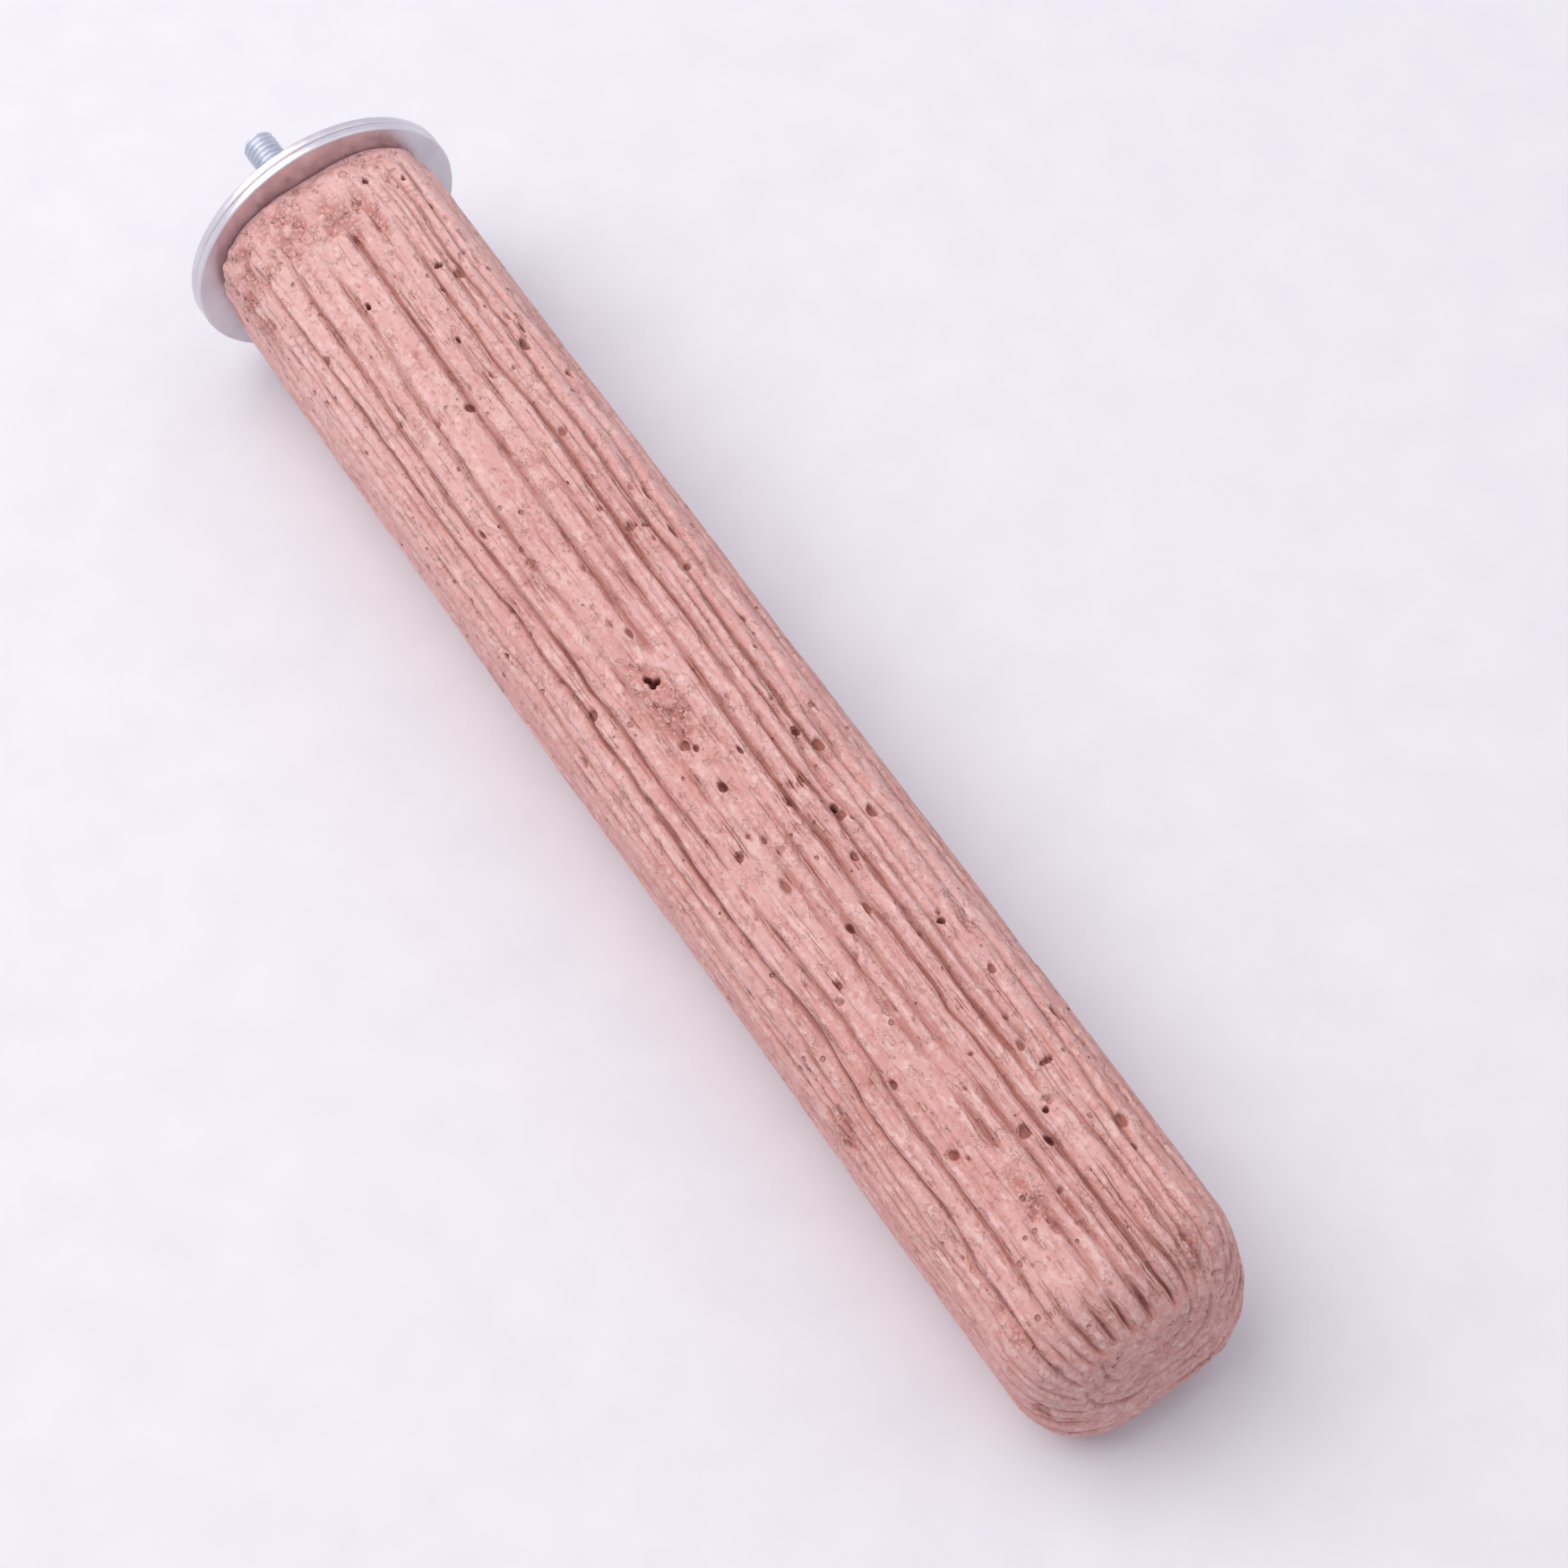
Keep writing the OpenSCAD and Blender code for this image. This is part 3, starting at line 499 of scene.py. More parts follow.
def opened(spot):
    """A traced air hole at its full size."""
    along, place, half_l, half_w, depth = spot
    return along, place, PIT_WIDER * half_l, PIT_WIDER * half_w, PIT_DEEPER * depth


# mm round the bar where the photograph shows its skin, and where it doesn't
IN_SIGHT = (17, 68)
OUT_OF_SIGHT = (70, ROUND + 14)

SEEN_PITS = [opened(spot) for spot in TRACED_PITS]
FREE_PITS = scattered(HIDDEN_SEED + 1, HIDDEN_PITS, *OUT_OF_SIGHT, (0.35, 1), (0.4, 1.5))
FREE_PITS += scattered(HIDDEN_SEED + 3, SMALL_DENTS, *IN_SIGHT, (0.45, 0.85), (0.3, 0.6))
PITS = SEEN_PITS + FREE_PITS
FINE_CRUMBS = TRACED_CRUMBS[:1] + TRACED_CRUMBS[7:9]
CRUMBS = list(TRACED_CRUMBS)
CRUMBS += scattered(HIDDEN_SEED + 2, HIDDEN_CRUMBS, *OUT_OF_SIGHT, (2, 4), (0.2, 0.35))


def spot_reach(u, s, spot):
    """Distance from a spot's middle, where 1 is its uneven edge."""
    along, place, half_l, half_w, _ = spot
    du = (u - along) / half_l
    ds = apart(s, place) / half_w
    turn = np.arctan2(ds, du)
    wobble = 1 + 0.07 * np.sin(2 * turn + along) + 0.06 * np.sin(3 * turn - place)
    return np.hypot(du, ds) * wobble


def pit_depth(u, s):
    """Depth in mm of the air holes, which have steep sides."""
    depth = 0 * u
    for spot in PITS:
        reach = spot_reach(u, s, spot)
        depth = np.maximum(depth, spot[4] * (1 - smooth((reach - 0.45) / 0.6)))
    return depth


def crumble(u, s, x, y, z):
    """How crumbled the skin is, from 0 to 1, and how deep it has sunk there."""
    share = 0 * u
    sunk = 0 * u
    for spot in CRUMBS:
        inside = 1 - smooth((spot_reach(u, s, spot) - 0.55) / 0.6)
        share = np.maximum(share, inside)
        sunk = np.maximum(sunk, inside * spot[4])
    ragged = smooth(0.75 + 0.9 * waves(700, x / 1.8, y / 1.5, z / 1.5))
    edge = 0.6 * smooth((9 - u) / 7) * smooth((u - SEAT_EDGE_U) / 2)
    return np.maximum(share, edge) * ragged, sunk * ragged


def layer_depth(u, y, z):
    """Depth in mm of the layers across the free end."""
    hang = np.clip(LAYER_TOP_Z - z, 0, None)
    reach = (np.abs(LAYER_NARROW * y) ** LAYER_POWER + hang ** LAYER_POWER) ** (1 / LAYER_POWER)
    reach = reach + 0.8 * waves(720, y / 9, z / 9) + 0.15 * waves(730, y / 3, z / 3)
    depth = 0 * u
    for k, (place, deep) in enumerate(LAYERS):
        strength = deep * smooth(0.9 + 0.9 * waves(740 + k, y / 8, z / 8))
        off = reach - place
        step = np.clip(1 - np.abs(off) / np.where(off > 0, 2.2, 0.5), 0, 1)
        depth = np.maximum(depth, strength * step)
    return depth * smooth((u - CREST_U + 1) / 2.5) * smooth((LAST_U - u) / 2)


def worn_edge(u, s, y, z):
    """Depth in mm to which the bar is worn off at its seat, most at its upper right
    corner."""
    corner = CORNER_WEAR * np.exp(-(apart(s, CORNER_PLACE) / CORNER_REACH) ** 2)
    bites = BITE_DEPTH * smooth(0.35 + 1.3 * waves(790, y / 5, z / 5))
    bites = bites * smooth(1 - (u - 1) / 5)
    return corner * (1 - smooth((u - SEAT_EDGE_U) / 7)) + bites


def bar_relief(u, v, s):
    """Depth in mm under the smooth section, how much painted shade each place gets
    in its hollows, and how far it is crumbled and near a groove's lip."""
    x, y, z = np.moveaxis(smooth_bar(u, s), -1, 0)
    grit = waves(750, x / 0.7, y / 0.7, z / 0.7)
    lumps = waves(760, x / 2.3, y / 2.3, z / 2.3)
    swell = waves(765, x / 9, y / 9, z / 9)
    grooves, cores, lips = groove_depth(u, v, s)
    layers = layer_depth(u, y, z)
    cracks = crack_depth(u, v)
    grooves = grooves + layers + cracks + worn_edge(u, s, y, z)
    pits = pit_depth(u, s)
    broken, sunk = crumble(u, s, x, y, z)
    lines = LINES * 6
    streaks = waves(770, u / 17, v * 6, repeat=lines)
    flakes = smooth(2.2 * waves(780, u / 7, v * 3, repeat=LINES * 3) - 0.7)
    on_skin = smooth((u - SEAT_EDGE_U) / 2) * smooth((LAST_U - u) / 3)
    small = STREAK_DEPTH * (1 + streaks) + LUMP_DEPTH * (1 + lumps) + GRIT_DEPTH * (1 + grit)
    small = small + SWELL_DEPTH * (1 + swell) + FLAKE_DEPTH * flakes
    rough = broken * (0.12 * (1 + grit) + 0.7 * smooth(0.5 + 1.6 * lumps)) + sunk
    depth = CREST_DEPTH + on_skin * (grooves * (1 - 0.5 * broken) + pits + small + rough)
    # Painted shade: the colour darkens in the grooves' cores, the layers and cracks, and the pits,
    # where shade falls
    painted_hollow_shade = 0.8 * smooth(cores / 1.3) + 0.7 * smooth((layers + cracks) / 0.5) + smooth(pits / 0.9)
    return depth, np.clip(painted_hollow_shade * on_skin, 0, 1), broken, lips * on_skin


# Modelling helpers

def start_piece(name, add, **settings):
    """A primitive at its size and place, alone in the selection."""
    bpy.ops.object.select_all(action="DESELECT")
    add(**settings)
    piece = bpy.context.object
    piece.name = name
    piece.data.name = name
    return piece


def use_alone(piece):
    bpy.ops.object.select_all(action="DESELECT")
    bpy.context.view_layer.objects.active = piece
    piece.select_set(True)


def place_in_mesh(piece):
    """Puts the object's place, turn and scale into its mesh."""
    use_alone(piece)
    bpy.ops.object.transform_apply(location=True, rotation=True, scale=True)


def edit_piece(piece, chosen=None, kind="polygons"):
    """Opens the piece for editing with all faces selected, or the chosen faces or
    edges."""
    mesh = piece.data
    if chosen is None:
        chosen = np.ones(len(mesh.polygons), bool)
    for name in ("vertices", "edges", "polygons"):
        parts = getattr(mesh, name)
        parts.foreach_set("select", chosen if name == kind else np.zeros(len(parts), bool))
    use_alone(piece)
    bpy.context.tool_settings.mesh_select_mode = (False, kind == "edges", kind == "polygons")
    bpy.ops.object.mode_set(mode="EDIT")


def rows_of(parts, name, width=3):
    """A property of all vertices or faces, one row of numbers for each."""
    values = np.empty(len(parts) * width)
    parts.foreach_get(name, values)
    return values.reshape(-1, width)


def apply_modifier(piece, kind, **settings):
    use_alone(piece)
    modifier = piece.modifiers.new(kind.title(), kind)
    for key, value in settings.items():
        setattr(modifier, key, value)
    bpy.ops.object.modifier_apply(modifier=modifier.name)


def finish_piece(piece, body, slot, material, *nodes):
    """Gives the piece its material and body, and hides the nodes it stands for."""
    piece.data.materials.clear()
    piece.data.materials.append(material)
    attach(piece, body)
    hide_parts(*nodes)


# Materials

def linear(hex_colour):
    """An sRGB hex colour as linear red, green, blue and alpha."""
    parts = [int(hex_colour[i:i + 2], 16) / 255 for i in (1, 3, 5)]
    return [c / 12.92 if c <= 0.04045 else ((c + 0.055) / 1.055) ** 2.4 for c in parts] + [1]


def add_node(tree, kind, inputs=(), **settings):
    """Adds a node with its settings. An input takes a number, a hex colour, or the
    node or socket that feeds it; a node feeds with its first output in use."""
    node = tree.nodes.new(kind)
    for key, value in settings.items():
        setattr(node, key, value)
    for socket, value in dict(inputs).items():
        if isinstance(value, bpy.types.Node):
            value = next(output for output in value.outputs if output.enabled)
        if isinstance(value, bpy.types.NodeSocket):
            tree.links.new(value, node.inputs[socket])
        elif isinstance(value, str):
            node.inputs[socket].default_value = linear(value)
        elif value is not None:
            node.inputs[socket].default_value = value
    return node


def new_material(name):
    """A material without nodes, and its node tree."""
    material = bpy.data.materials.new(name)
    material.use_nodes = True
    material.node_tree.nodes.clear()
    return material, material.node_tree


def pattern(tree, size_mm, low=0, high=1, stretch=1, detail=3, roughness=0.5):
    """Clouds with blobs of a size in mm, drawn out along the bar by stretch: 0 where
    their noise is under low and 1 where it is over high."""
    place = add_node(tree, "ShaderNodeTexCoord").outputs["Object"]
    drawn = add_node(tree, "ShaderNodeMapping", {"Vector": place, "Scale": (1 / stretch, 1, 1)})
    noise = add_node(tree, "ShaderNodeTexNoise", {
        "Vector": drawn, "Scale": 1 / (size_mm * MM), "Detail": detail, "Roughness": roughness})
    return add_node(tree, "ShaderNodeMapRange", {0: noise, 1: low, 2: high})


def cells(tree, size_mm):
    """Cells of a size in mm: how far each point is from its cell's middle, from 0,
    and a random colour for each cell."""
    place = add_node(tree, "ShaderNodeTexCoord").outputs["Object"]
    return add_node(tree, "ShaderNodeTexVoronoi", {"Vector": place, "Scale": 1 / (size_mm * MM)})


def air_holes(tree, spacing_mm, widest_mm, rim_mm):
    """Small round holes at random places: 1 inside them and 0 outside."""
    spots = cells(tree, spacing_mm)
    chance = add_node(tree, "ShaderNodeSeparateColor", {0: spots.outputs["Color"]})
    widest = widest_mm / spacing_mm
    radius = add_node(tree, "ShaderNodeMapRange", {0: chance, 1: NO_HOLE, 2: 1, 3: -0.05, 4: widest})
    inside = add_node(tree, "ShaderNodeMath", {0: radius, 1: spots}, operation="SUBTRACT")
    return add_node(tree, "ShaderNodeMapRange", {0: inside, 1: 0, 2: rim_mm / spacing_mm})


def finish_material(tree, colour, finish, relief=()):
    """Gives the material its shader. Relief is heights from 0 to 1, one on top of the
    other, each with the mm by which it rises, or sinks where that is less than 0."""
    normal = None
    for height, rise_mm in relief:
        deep = {"Height": height, "Distance": abs(rise_mm) * MM, "Normal": normal}
        normal = add_node(tree, "ShaderNodeBump", deep, invert=rise_mm < 0)
    look = {"Base Color": colour, "Normal": normal, **finish}
    shader = add_node(tree, "ShaderNodeBsdfPrincipled", look)
    add_node(tree, "ShaderNodeOutputMaterial", {"Surface": shader})


def cement_places(tree):
    """Where the cement has each of its traits, and where its painted light and shade lie, as values
    from 0 to 1.
    """
    place = add_node(tree, "ShaderNodeTexCoord").outputs["Object"]
    along = add_node(tree, "ShaderNodeSeparateXYZ", {0: place})
    middle = 0.5 * BAR_L * MM
    crumbled, lip, painted_hollow_shade = (
        add_node(tree, "ShaderNodeAttribute", attribute_name=name).outputs["Fac"]
        for name in ("crumbled", "lip", "painted_hollow_shade"))
    ragged = pattern(tree, 1.7, stretch=1.2)
    edge = add_node(tree, "ShaderNodeMath", {0: ragged, 1: 0.9, 2: lip}, operation="MULTIPLY_ADD")
    return {
        "streaks": pattern(tree, 2.2, 0.35, 0.68, stretch=7),
        "blotches": pattern(tree, 14, 0.36, 0.66, stretch=2.5),
        "chalk": pattern(tree, 1.3, 0.5, 0.64, stretch=1.8, roughness=0.7),
        "specks": pattern(tree, 0.9, 0.57, 0.66, detail=2),
        "chips": pattern(tree, 2.1, 0.59, 0.61, stretch=1.5, detail=4, roughness=0.6),
        "lumps": pattern(tree, 1.7, 0.34, 0.66, detail=2),
        "grains": add_node(
            tree, "ShaderNodeMapRange", {0: cells(tree, 0.75), 1: 0.15, 2: 0.65, 3: 1, 4: 0}),
        # Small air holes; their darker tint is painted shade
        "holes": air_holes(tree, 2.6, 0.6, 0.18),
        # Painted light: the colour pales towards the seat, where more light falls along the bar
        "seat": add_node(tree, "ShaderNodeMapRange", {0: along, 1: 0, 2: middle, 3: 1, 4: 0}),
        "crumbled": crumbled,
        "broken": add_node(tree, "ShaderNodeMapRange", {0: crumbled, 1: 0.1, 2: 0.9}),
        # Painted shade, dark red, in the hollows of the grooves, layers, cracks and pits
        "grooves": add_node(tree, "ShaderNodeMapRange", {0: painted_hollow_shade, 1: 0.26, 2: 0.92}),
        # Eaten edges along the grooves: a real sinking, and a darker tint that is partly painted
        # shade
        "eaten_edge_and_shade": add_node(tree, "ShaderNodeMapRange", {0: edge, 1: 0.75, 2: 1.1})}


def cement_colour(tree, places):
    """The cement's own pink and, one over the other, the tints of its traits, among them painted
    light towards the seat and painted shade in its hollows, holes and gaps.
    """
    own = {0: places["streaks"], 6: "#D99F99", 7: "#E6B7B3"}
    colour = add_node(tree, "ShaderNodeMix", own, data_type="RGBA")
    # The broken skin's grains, pale, with painted shade in the darker gaps between them
    sand = {0: places["grains"], 6: "#B47067", 7: "#E6B5AE"}
    sand_with_gap_shade = add_node(tree, "ShaderNodeMix", sand, data_type="RGBA")
    # Real traits and painted light and shade laid one over the other: paler at the seat by painted
    # light, darker by painted shade in the hollows, holes, eaten edges and the grains' gaps
    tints = (
        ("blotches", 0.45, "#E6B7B6"), ("chalk", 0.6, "#F3D2CD"), ("seat", 0.4, "#F0CBC9"),
        ("chips", 0.18, "#D09185"), ("specks", 0.42, "#C4857A"), ("broken", 0.65, sand_with_gap_shade),
        ("eaten_edge_and_shade", 0.15, "#BA7A6C"), ("grooves", 0.78, "#8E5043"), ("holes", 0.6, "#A1665A"))
    for trait, most, tint in tints:
        share = add_node(tree, "ShaderNodeMath", {0: places[trait], 1: most}, operation="MULTIPLY")
        colour = add_node(tree, "ShaderNodeMix", {0: share, 6: colour, 7: tint}, data_type="RGBA")
    return colour


def cement_relief(tree, places):
    """Grit, grains and lumps that have come loose, scratches of the mould, and chips,
    which are 0.14 mm deep, or 0.5 mm where the skin has crumbled."""
    crumbled = places["crumbled"]
    chip_depth = add_node(
        tree, "ShaderNodeMath", {0: crumbled, 1: 0.36, 2: 0.14}, operation="MULTIPLY_ADD")
    grains, lumps, flakes = (
        add_node(tree, "ShaderNodeMath", {0: places[trait], 1: share}, operation="MULTIPLY")
        for trait, share in (("grains", crumbled), ("lumps", crumbled), ("chips", chip_depth)))
    grit = pattern(tree, 0.45, detail=2)
    scratches = pattern(tree, 0.8, stretch=12, detail=2)
    return (
        (grit, 0.09), (grains, 0.15), (lumps, 0.28), (scratches, 0.16), (flakes, -1),
        (places["eaten_edge_and_shade"], -0.2), (places["holes"], -0.4))


def cast_cement():
    """Pigmented cement, cast in a wood-grain mould: matte, chalky and pink, paler
    towards its seat by painted light, redder and darker in its grooves by painted shade, which
    leaves the ridges paler, with chipped edges, small air holes, and grains and lumps where the skin
    has broken."""
    material, tree = new_material("pigmented_cast_cement")
    places = cement_places(tree)
    colour = cement_colour(tree, places)
    finish = {"Roughness": 0.93, "IOR": 1.5, "Specular IOR Level": 0.04}
    finish_material(tree, colour, finish, cement_relief(tree, places))
    return material


def zinc(name, colour, dull, roughness, smear_mm=1.2, dent_mm=0.01):
    """Bright zinc plating on steel: a bluish silver that mirrors softly, with a
    cloudy film that dulls it in patches and is rubbed smoother in others."""
    material, tree = new_material(name)
    film = pattern(tree, 7, 0.35, 0.7, detail=4)
    tint = add_node(tree, "ShaderNodeMix", {0: film, 6: colour, 7: dull}, data_type="RGBA")
    smears = pattern(tree, smear_mm, 0.3, 0.7)
    blur = add_node(
        tree, "ShaderNodeMapRange", {0: smears, 3: 0.8 * roughness, 4: 1.25 * roughness})
    dents = pattern(tree, 1.5 * smear_mm, detail=2)
    finish_material(tree, tint, {"Metallic": 1, "Roughness": blur}, [(dents, dent_mm)])
    return material


# The cement bar

# Rings of the flat sheet on the seat, its round edge, the sides, the round free edge
# and the free end, and the columns between two lines of the grain
RING_COUNTS = (3, 11, 326, 26, 14)
COLUMNS_A_LINE = 9
MOST_TRIANGLES = 192000


def bar_rows():
    """Shares of the rings up to each stretch of the bar, and where it ends."""
    stops = (FIRST_U, SEAT_EDGE_U, SEAT_ROUND, FREE_U, FREE_EDGE_U, LAST_U)
    rings = np.cumsum((0,) + RING_COUNTS)
    return rings / rings[-1], np.array(stops)


def sheet_places(points):
    """Places u and columns v of points on the flat sheet, which is 1 m square."""
    shares, stops = bar_rows()
    u = np.interp(points[:, 0] + 0.5, shares, stops)
    return u, SEAM_LINE + (points[:, 1] + 0.5) * LINES


def refine(piece, spots, margin, cuts):
    """Cuts the sheet's faces finer within a margin in mm of the spots."""
    u, v = sheet_places(rows_of(piece.data.polygons, "center"))
    s = round_place(u, v)
    near = np.zeros(len(u), bool)
    for along, place, half_l, half_w, _ in spots:
        inside = np.abs(u - along) < half_l + margin
        near |= inside & (np.abs(apart(s, place)) < half_w + margin)
    near &= np.abs(v - SEAM_LINE - LINES / 2) < LINES / 2 - 1
    edit_piece(piece, near)
    bpy.ops.mesh.subdivide(number_cuts=cuts, ngon=False)
    bpy.ops.object.mode_set(mode="OBJECT")


def cement_bar():
    """The bar as a sheet of fine mesh, rolled up round the stud's axis."""
    piece = start_piece(
        "cement_bar", bpy.ops.mesh.primitive_grid_add, x_subdivisions=sum(RING_COUNTS),
        y_subdivisions=LINES * COLUMNS_A_LINE, size=1)
    refine(piece, SEEN_PITS, 0.35, 3)
    refine(piece, FREE_PITS, 0.3, 1)
    refine(piece, FINE_CRUMBS, 0, 1)
    u, v = sheet_places(rows_of(piece.data.vertices, "co"))
    s = round_place(u, v)
    depth, painted_hollow_shade, crumbled, lips = bar_relief(u, v, s)
    pitted = smooth(pit_depth(u, s) / 0.3)
    points = smooth_bar(u, s) - outward(u, s) * depth[:, None]
    mesh = piece.data
    mesh.vertices.foreach_set("co", (points * MM).ravel())
    shares = {"painted_hollow_shade": painted_hollow_shade, "crumbled": crumbled, "lip": lips, "pitted": pitted}
    for name, values in shares.items():
        mesh.attributes.new(name, "FLOAT", "POINT").data.foreach_set("value", values)
    edit_piece(piece)
    bpy.ops.mesh.remove_doubles(threshold=MERGE_MM * MM)
    bpy.ops.mesh.normals_make_consistent(inside=False)
    bpy.ops.object.mode_set(mode="OBJECT")
    mesh.calc_loop_triangles()
    ratio = MOST_TRIANGLES / len(mesh.loop_triangles)
    group = piece.vertex_groups.new(name="plain")
    in_pits = rows_of(mesh.attributes["pitted"].data, "value", 1)
    group.add(np.flatnonzero(in_pits == 0).tolist(), 1, "REPLACE")
    apply_modifier(
        piece, "DECIMATE", ratio=min(1, ratio), use_collapse_triangulate=True,
        vertex_group=group.name)
    piece.vertex_groups.clear()
    use_alone(piece)
    bpy.ops.object.shade_smooth()
    finish_piece(piece, "perch", "cement", cast_cement(), "perch_body")


# The clamp hardware

AXIS_TURN = (0, math.pi / 2, 0)


def clamp_washer(name, node, body, material):
    """A wide washer punched from sheet, with its edges rolled over a little."""
    low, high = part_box(node)
    thick = high.x - low.x
    radius = (high.y - low.y) / 2
    piece = start_piece(
        name, bpy.ops.mesh.primitive_cylinder_add, vertices=192, radius=radius, depth=thick,
        location=((low.x + high.x) / 2, 0, 0), rotation=AXIS_TURN)
    place_in_mesh(piece)
    flat = np.abs(rows_of(piece.data.polygons, "normal")[:, 0]) > 0.9
    edit_piece(piece, flat)
    bpy.ops.mesh.inset(thickness=radius - WASHER_HOLE_R * MM, use_individual=True)
    bpy.ops.mesh.bridge_edge_loops()
    bpy.ops.object.mode_set(mode="OBJECT")
    apply_modifier(
        piece, "BEVEL", width=WASHER_EDGE * MM, segments=4, limit_method="ANGLE",
        angle_limit=math.radians(60))
    use_alone(piece)
    bpy.ops.object.shade_smooth_by_angle(angle=math.radians(35))
    finish_piece(piece, body, "washer_zinc", material, node)


def thread_ridge(low_x, high_x, root, crest):
    """The skin of a right-hand thread, swept a little past both ends."""
    pitch = PITCH * MM
    flank = (crest - root) * math.tan(math.radians(30))
    half_crest = pitch / 16
    profile = (
        (0, root), (pitch / 2 - half_crest - flank, root), (pitch / 2 - half_crest, crest),
        (pitch / 2 + half_crest, crest), (pitch / 2 + half_crest + flank, root), (pitch, root))
    piece = start_piece(
        "threaded_stud_m6", bpy.ops.mesh.primitive_circle_add, vertices=len(profile))
    mesh = piece.data
    points = np.array([(low_x - 2 * pitch + along, radius, 0) for along, radius in profile])
    mesh.vertices.foreach_set("co", points.ravel())
    closing = [set(edge.vertices) == {0, len(profile) - 1} for edge in mesh.edges]
    edit_piece(piece, np.array(closing), "edges")
    bpy.ops.mesh.delete(type="EDGE")
    bpy.ops.object.mode_set(mode="OBJECT")
    turns = math.ceil((high_x - low_x) / pitch) + 4
    apply_modifier(
        piece, "SCREW", axis="X", screw_offset=pitch, angle=2 * math.pi, steps=THREAD_STEPS,
        render_steps=THREAD_STEPS, iterations=turns, use_smooth_shade=False)
    edit_piece(piece)
    bpy.ops.mesh.remove_doubles(threshold=MERGE_MM * MM)
    cut_off(low_x, -1)
    cut_off(high_x, 1)
    bpy.ops.mesh.select_all(action="SELECT")
    bpy.ops.mesh.normals_make_consistent(inside=False)
    bpy.ops.object.mode_set(mode="OBJECT")
    return piece


def threaded_stud(material):
    """The stud with its rolled thread, cut to length and chamfered at the open end."""
    low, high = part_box("threaded_stud")
    crest = (high.y - low.y) / 2
    piece = thread_ridge(low.x, high.x, crest - THREAD_DEPTH * MM, crest)
    points = rows_of(piece.data.vertices, "co")
    radius = np.hypot(points[:, 1], points[:, 2])
    limit = crest - STUD_CHAMFER * MM + points[:, 0] - low.x
    points[:, 1:] *= np.minimum(1, limit / np.maximum(radius, MM))[:, None]
    piece.data.vertices.foreach_set("co", points.ravel())
    use_alone(piece)
    bpy.ops.object.shade_smooth_by_angle(angle=math.radians(24))
    finish_piece(piece, "perch", "stud_zinc", material, "threaded_stud")


def cut_off(x, side):
    """Cuts off what lies beyond x on one side of the piece that is open for editing,
    and closes the cut."""
    bpy.ops.mesh.select_all(action="SELECT")
    bpy.ops.mesh.bisect(
        plane_co=(x, 0, 0), plane_no=(1, 0, 0), use_fill=True, clear_inner=side < 0,
        clear_outer=side > 0, threshold=1e-7)


def cut_with(piece, cutter, operation):
    """Keeps the part of the piece inside or outside a cutter, which is used up."""
    apply_modifier(piece, "BOOLEAN", operation=operation, object=cutter, solver="EXACT")
    bpy.data.objects.remove(cutter)


def wing(side, base_x):
    """One wing of the nut: a round tip drawn down to a thicker root in the hub."""
    tip_y = side * (WING_SPAN / 2 - WING_TIP_R) * MM
    tip_x = base_x - (NUT_H - WING_TIP_R) * MM
    tip = start_piece(
        "wing", bpy.ops.mesh.primitive_cylinder_add, vertices=48, radius=WING_TIP_R * MM,
        depth=WING_T * MM, location=(tip_x, tip_y, 0))
    root_h = HUB_H - 1.5 * WING_ROOT_H
    root_x = base_x - (WING_ROOT_H + root_h / 2) * MM
    root = start_piece(
        "root", bpy.ops.mesh.primitive_cube_add, size=1, location=(root_x, side * 4 * MM, 0),
        scale=(root_h * MM, 1.5 * MM, WING_ROOT_T * MM))
    root.select_set(True)
    tip.select_set(True)
    bpy.context.view_layer.objects.active = tip
    bpy.ops.object.join()
    place_in_mesh(tip)
    edit_piece(tip)
    bpy.ops.mesh.convex_hull()
    bpy.ops.object.mode_set(mode="OBJECT")
    return tip


def round_cutter(low_x, high_x, radius_low, radius_high):
    """A round cutter along the stud's axis with a radius at each end."""
    cutter = start_piece(
        "cutter", bpy.ops.mesh.primitive_cone_add, vertices=64, radius1=radius_low,
        radius2=radius_high, depth=high_x - low_x, location=((low_x + high_x) / 2, 0, 0),
        rotation=AXIS_TURN)
    place_in_mesh(cutter)
    return cutter


def cast_wing_nut(material):
    """The wing nut: hub and wings cast in one, softened, then faced and bored."""
    low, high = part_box("wing_nut")
    base = high.x
    over = 1 * MM
    flare = (HUB_R - HUB_TOP_R) / HUB_H * over
    piece = start_piece(
        "cast_wing_nut", bpy.ops.mesh.primitive_cone_add, vertices=96,
        radius1=HUB_TOP_R * MM, radius2=HUB_R * MM + flare, depth=HUB_H * MM + over,
        location=(base - (HUB_H * MM - over) / 2, 0, 0), rotation=AXIS_TURN)
    wings = [wing(side, base) for side in (1, -1)]
    use_alone(piece)
    for other in wings:
        other.select_set(True)
    bpy.ops.object.join()
    place_in_mesh(piece)
    apply_modifier(piece, "REMESH", mode="VOXEL", voxel_size=0.28 * MM)
    apply_modifier(piece, "SMOOTH", factor=0.5, iterations=8)
    edit_piece(piece)
    cut_off(base, 1)
    bpy.ops.object.mode_set(mode="OBJECT")
    top = base - HUB_H * MM
    bore = NUT_BORE_R * MM
    sink = NUT_SINK * MM
    cut_with(piece, round_cutter(low.x, base + over, bore, bore), "DIFFERENCE")
    cut_with(piece, round_cutter(base - sink, base + over, bore, bore + sink + over), "DIFFERENCE")
    cut_with(piece, round_cutter(top - over, top + sink, bore + sink + over, bore), "DIFFERENCE")
    use_alone(piece)
    bpy.ops.object.shade_smooth_by_angle(angle=math.radians(40))
    finish_piece(piece, "wing_nut", "wing_nut_zinc", material, "wing_nut")


# The studio

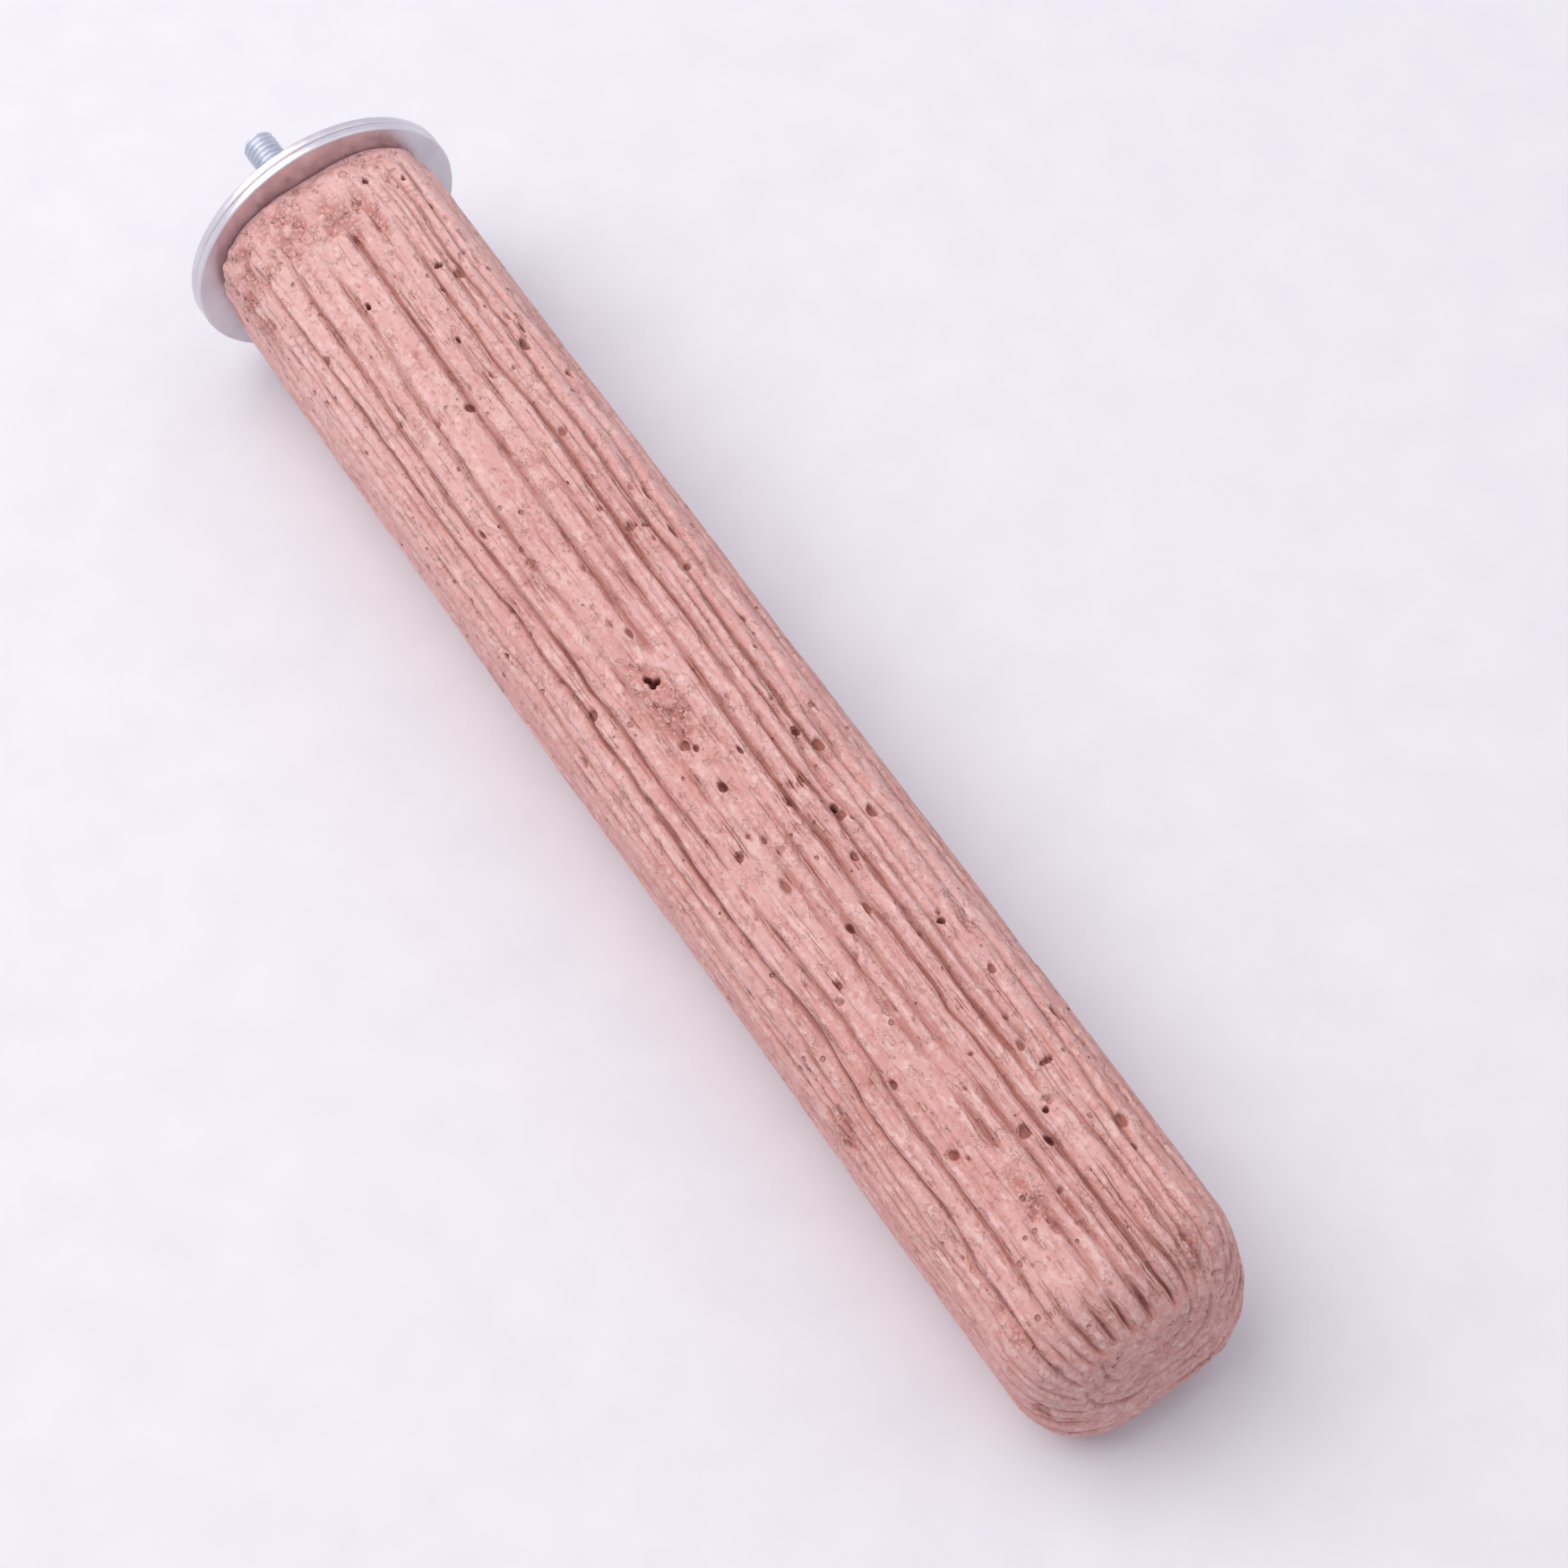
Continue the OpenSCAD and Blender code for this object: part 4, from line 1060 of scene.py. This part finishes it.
def photo_camera():
    """The camera of the photograph."""
    data = bpy.data.cameras.new("camera")
    data.lens = CAMERA_LENS
    camera = bpy.data.objects.new("camera", data)
    bpy.context.scene.collection.objects.link(camera)
    axes = Matrix((CAMERA_RIGHT, CAMERA_UP, CAMERA_RIGHT.cross(CAMERA_UP))).transposed()
    camera.matrix_world = Matrix.Translation(CAMERA_AT) @ axes.to_4x4()
    bpy.context.scene.camera = camera


def floor():
    """A pale matte table top, touching the washers' rims and the bar's free end."""
    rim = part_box("inner_washer")
    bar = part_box("perch_body")
    reach = (SEAT_X + FREE_U) * MM
    slope = math.atan2(bar[0].z - rim[0].z, reach - rim[1].x)
    bpy.ops.object.select_all(action="DESELECT")
    bpy.ops.mesh.primitive_plane_add(
        size=4, location=(rim[1].x, 0, rim[0].z - 0.0001), rotation=(0, -slope, 0))
    plane = bpy.context.object
    plane.name = "floor"
    material, tree = new_material("pale_table")
    grain = pattern(tree, 12, 0.3, 0.7)
    colour = add_node(
        tree, "ShaderNodeMix", {0: grain, 6: "#EAEAF3", 7: "#EEEEF6"}, data_type="RGBA")
    finish_material(tree, colour, {"Roughness": 0.9, "Specular IOR Level": 0.1})
    plane.data.materials.append(material)


def lamp(name, at, size, watts, colour):
    """A soft box that faces the middle of the bar."""
    data = bpy.data.lights.new(name, "AREA")
    data.shape = "SQUARE"
    data.size = size
    data.energy = watts
    data.color = linear(colour)[:3]
    light = bpy.data.objects.new(name, data)
    bpy.context.scene.collection.objects.link(light)
    light.location = at
    aim = Vector((0.12, 0, 0)) - light.location
    light.rotation_euler = aim.to_track_quat("-Z", "Y").to_euler()


def pale_world():
    """Soft light from all round, strongest from above, and a pale background where
    the camera and bright metal see it."""
    world = bpy.data.worlds.new("studio")
    bpy.context.scene.world = world
    world.use_nodes = True
    tree = world.node_tree
    tree.nodes.clear()
    place = add_node(tree, "ShaderNodeTexCoord").outputs["Generated"]
    height = add_node(tree, "ShaderNodeSeparateXYZ", {0: place}).outputs["Z"]
    strength = add_node(
        tree, "ShaderNodeMapRange", {0: height, 1: 0, 2: 1, 3: HORIZON_LIGHT, 4: ZENITH_LIGHT})
    soft = add_node(tree, "ShaderNodeBackground", {"Color": "#F4F3F8", "Strength": strength})
    pale = add_node(tree, "ShaderNodeBackground", {"Color": "#EBE8F2"})
    path = add_node(tree, "ShaderNodeLightPath")
    seen = path.outputs["Is Camera Ray"]
    for ray in ("Is Glossy Ray", "Is Transmission Ray"):
        either = {0: seen, 1: path.outputs[ray]}
        seen = add_node(tree, "ShaderNodeMath", either, operation="MAXIMUM")
    mix = add_node(tree, "ShaderNodeMixShader", {0: seen, 1: soft, 2: pale})
    add_node(tree, "ShaderNodeOutputWorld", {"Surface": mix})


photo_camera()

cement_bar()
bright = zinc("bright_zinc_on_sheet_steel", "#E0DDE2", "#D5D0D6", 0.34, dent_mm=0.001)
clamp_washer("inner_clamp_washer", "inner_washer", "inner_washer", bright)
clamp_washer("outer_clamp_washer", "outer_washer", "outer_washer", bright)
stud_zinc = zinc("zinc_on_rolled_thread", "#E2E5EE", "#D3D8E3", 0.5)
anchor_zinc = zinc("zinc_on_anchor_nuts", "#B9BEC8", "#A9AFBA", 0.35)
cast_zinc = zinc("zinc_on_rough_casting", "#B4B8C0", "#A0A5AE", 0.42, smear_mm=0.8, dent_mm=0.05)
threaded_stud(stud_zinc)
cast_wing_nut(cast_zinc)
for name in ("front_anchor_nut", "anchor_washer", "rear_anchor_nut"):
    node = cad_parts[name]
    node.data.materials.clear()
    node.data.materials.append(anchor_zinc)

floor()
lamp("window", (-0.42, -0.52, 1.2), 1.3, 13.7, "#FFFAF6")
lamp("fill", (0.2, 0.9, 1.3), 1.6, 2.4, "#F6F5FF")
pale_world()

bpy.context.scene.view_settings.view_transform = "Standard"
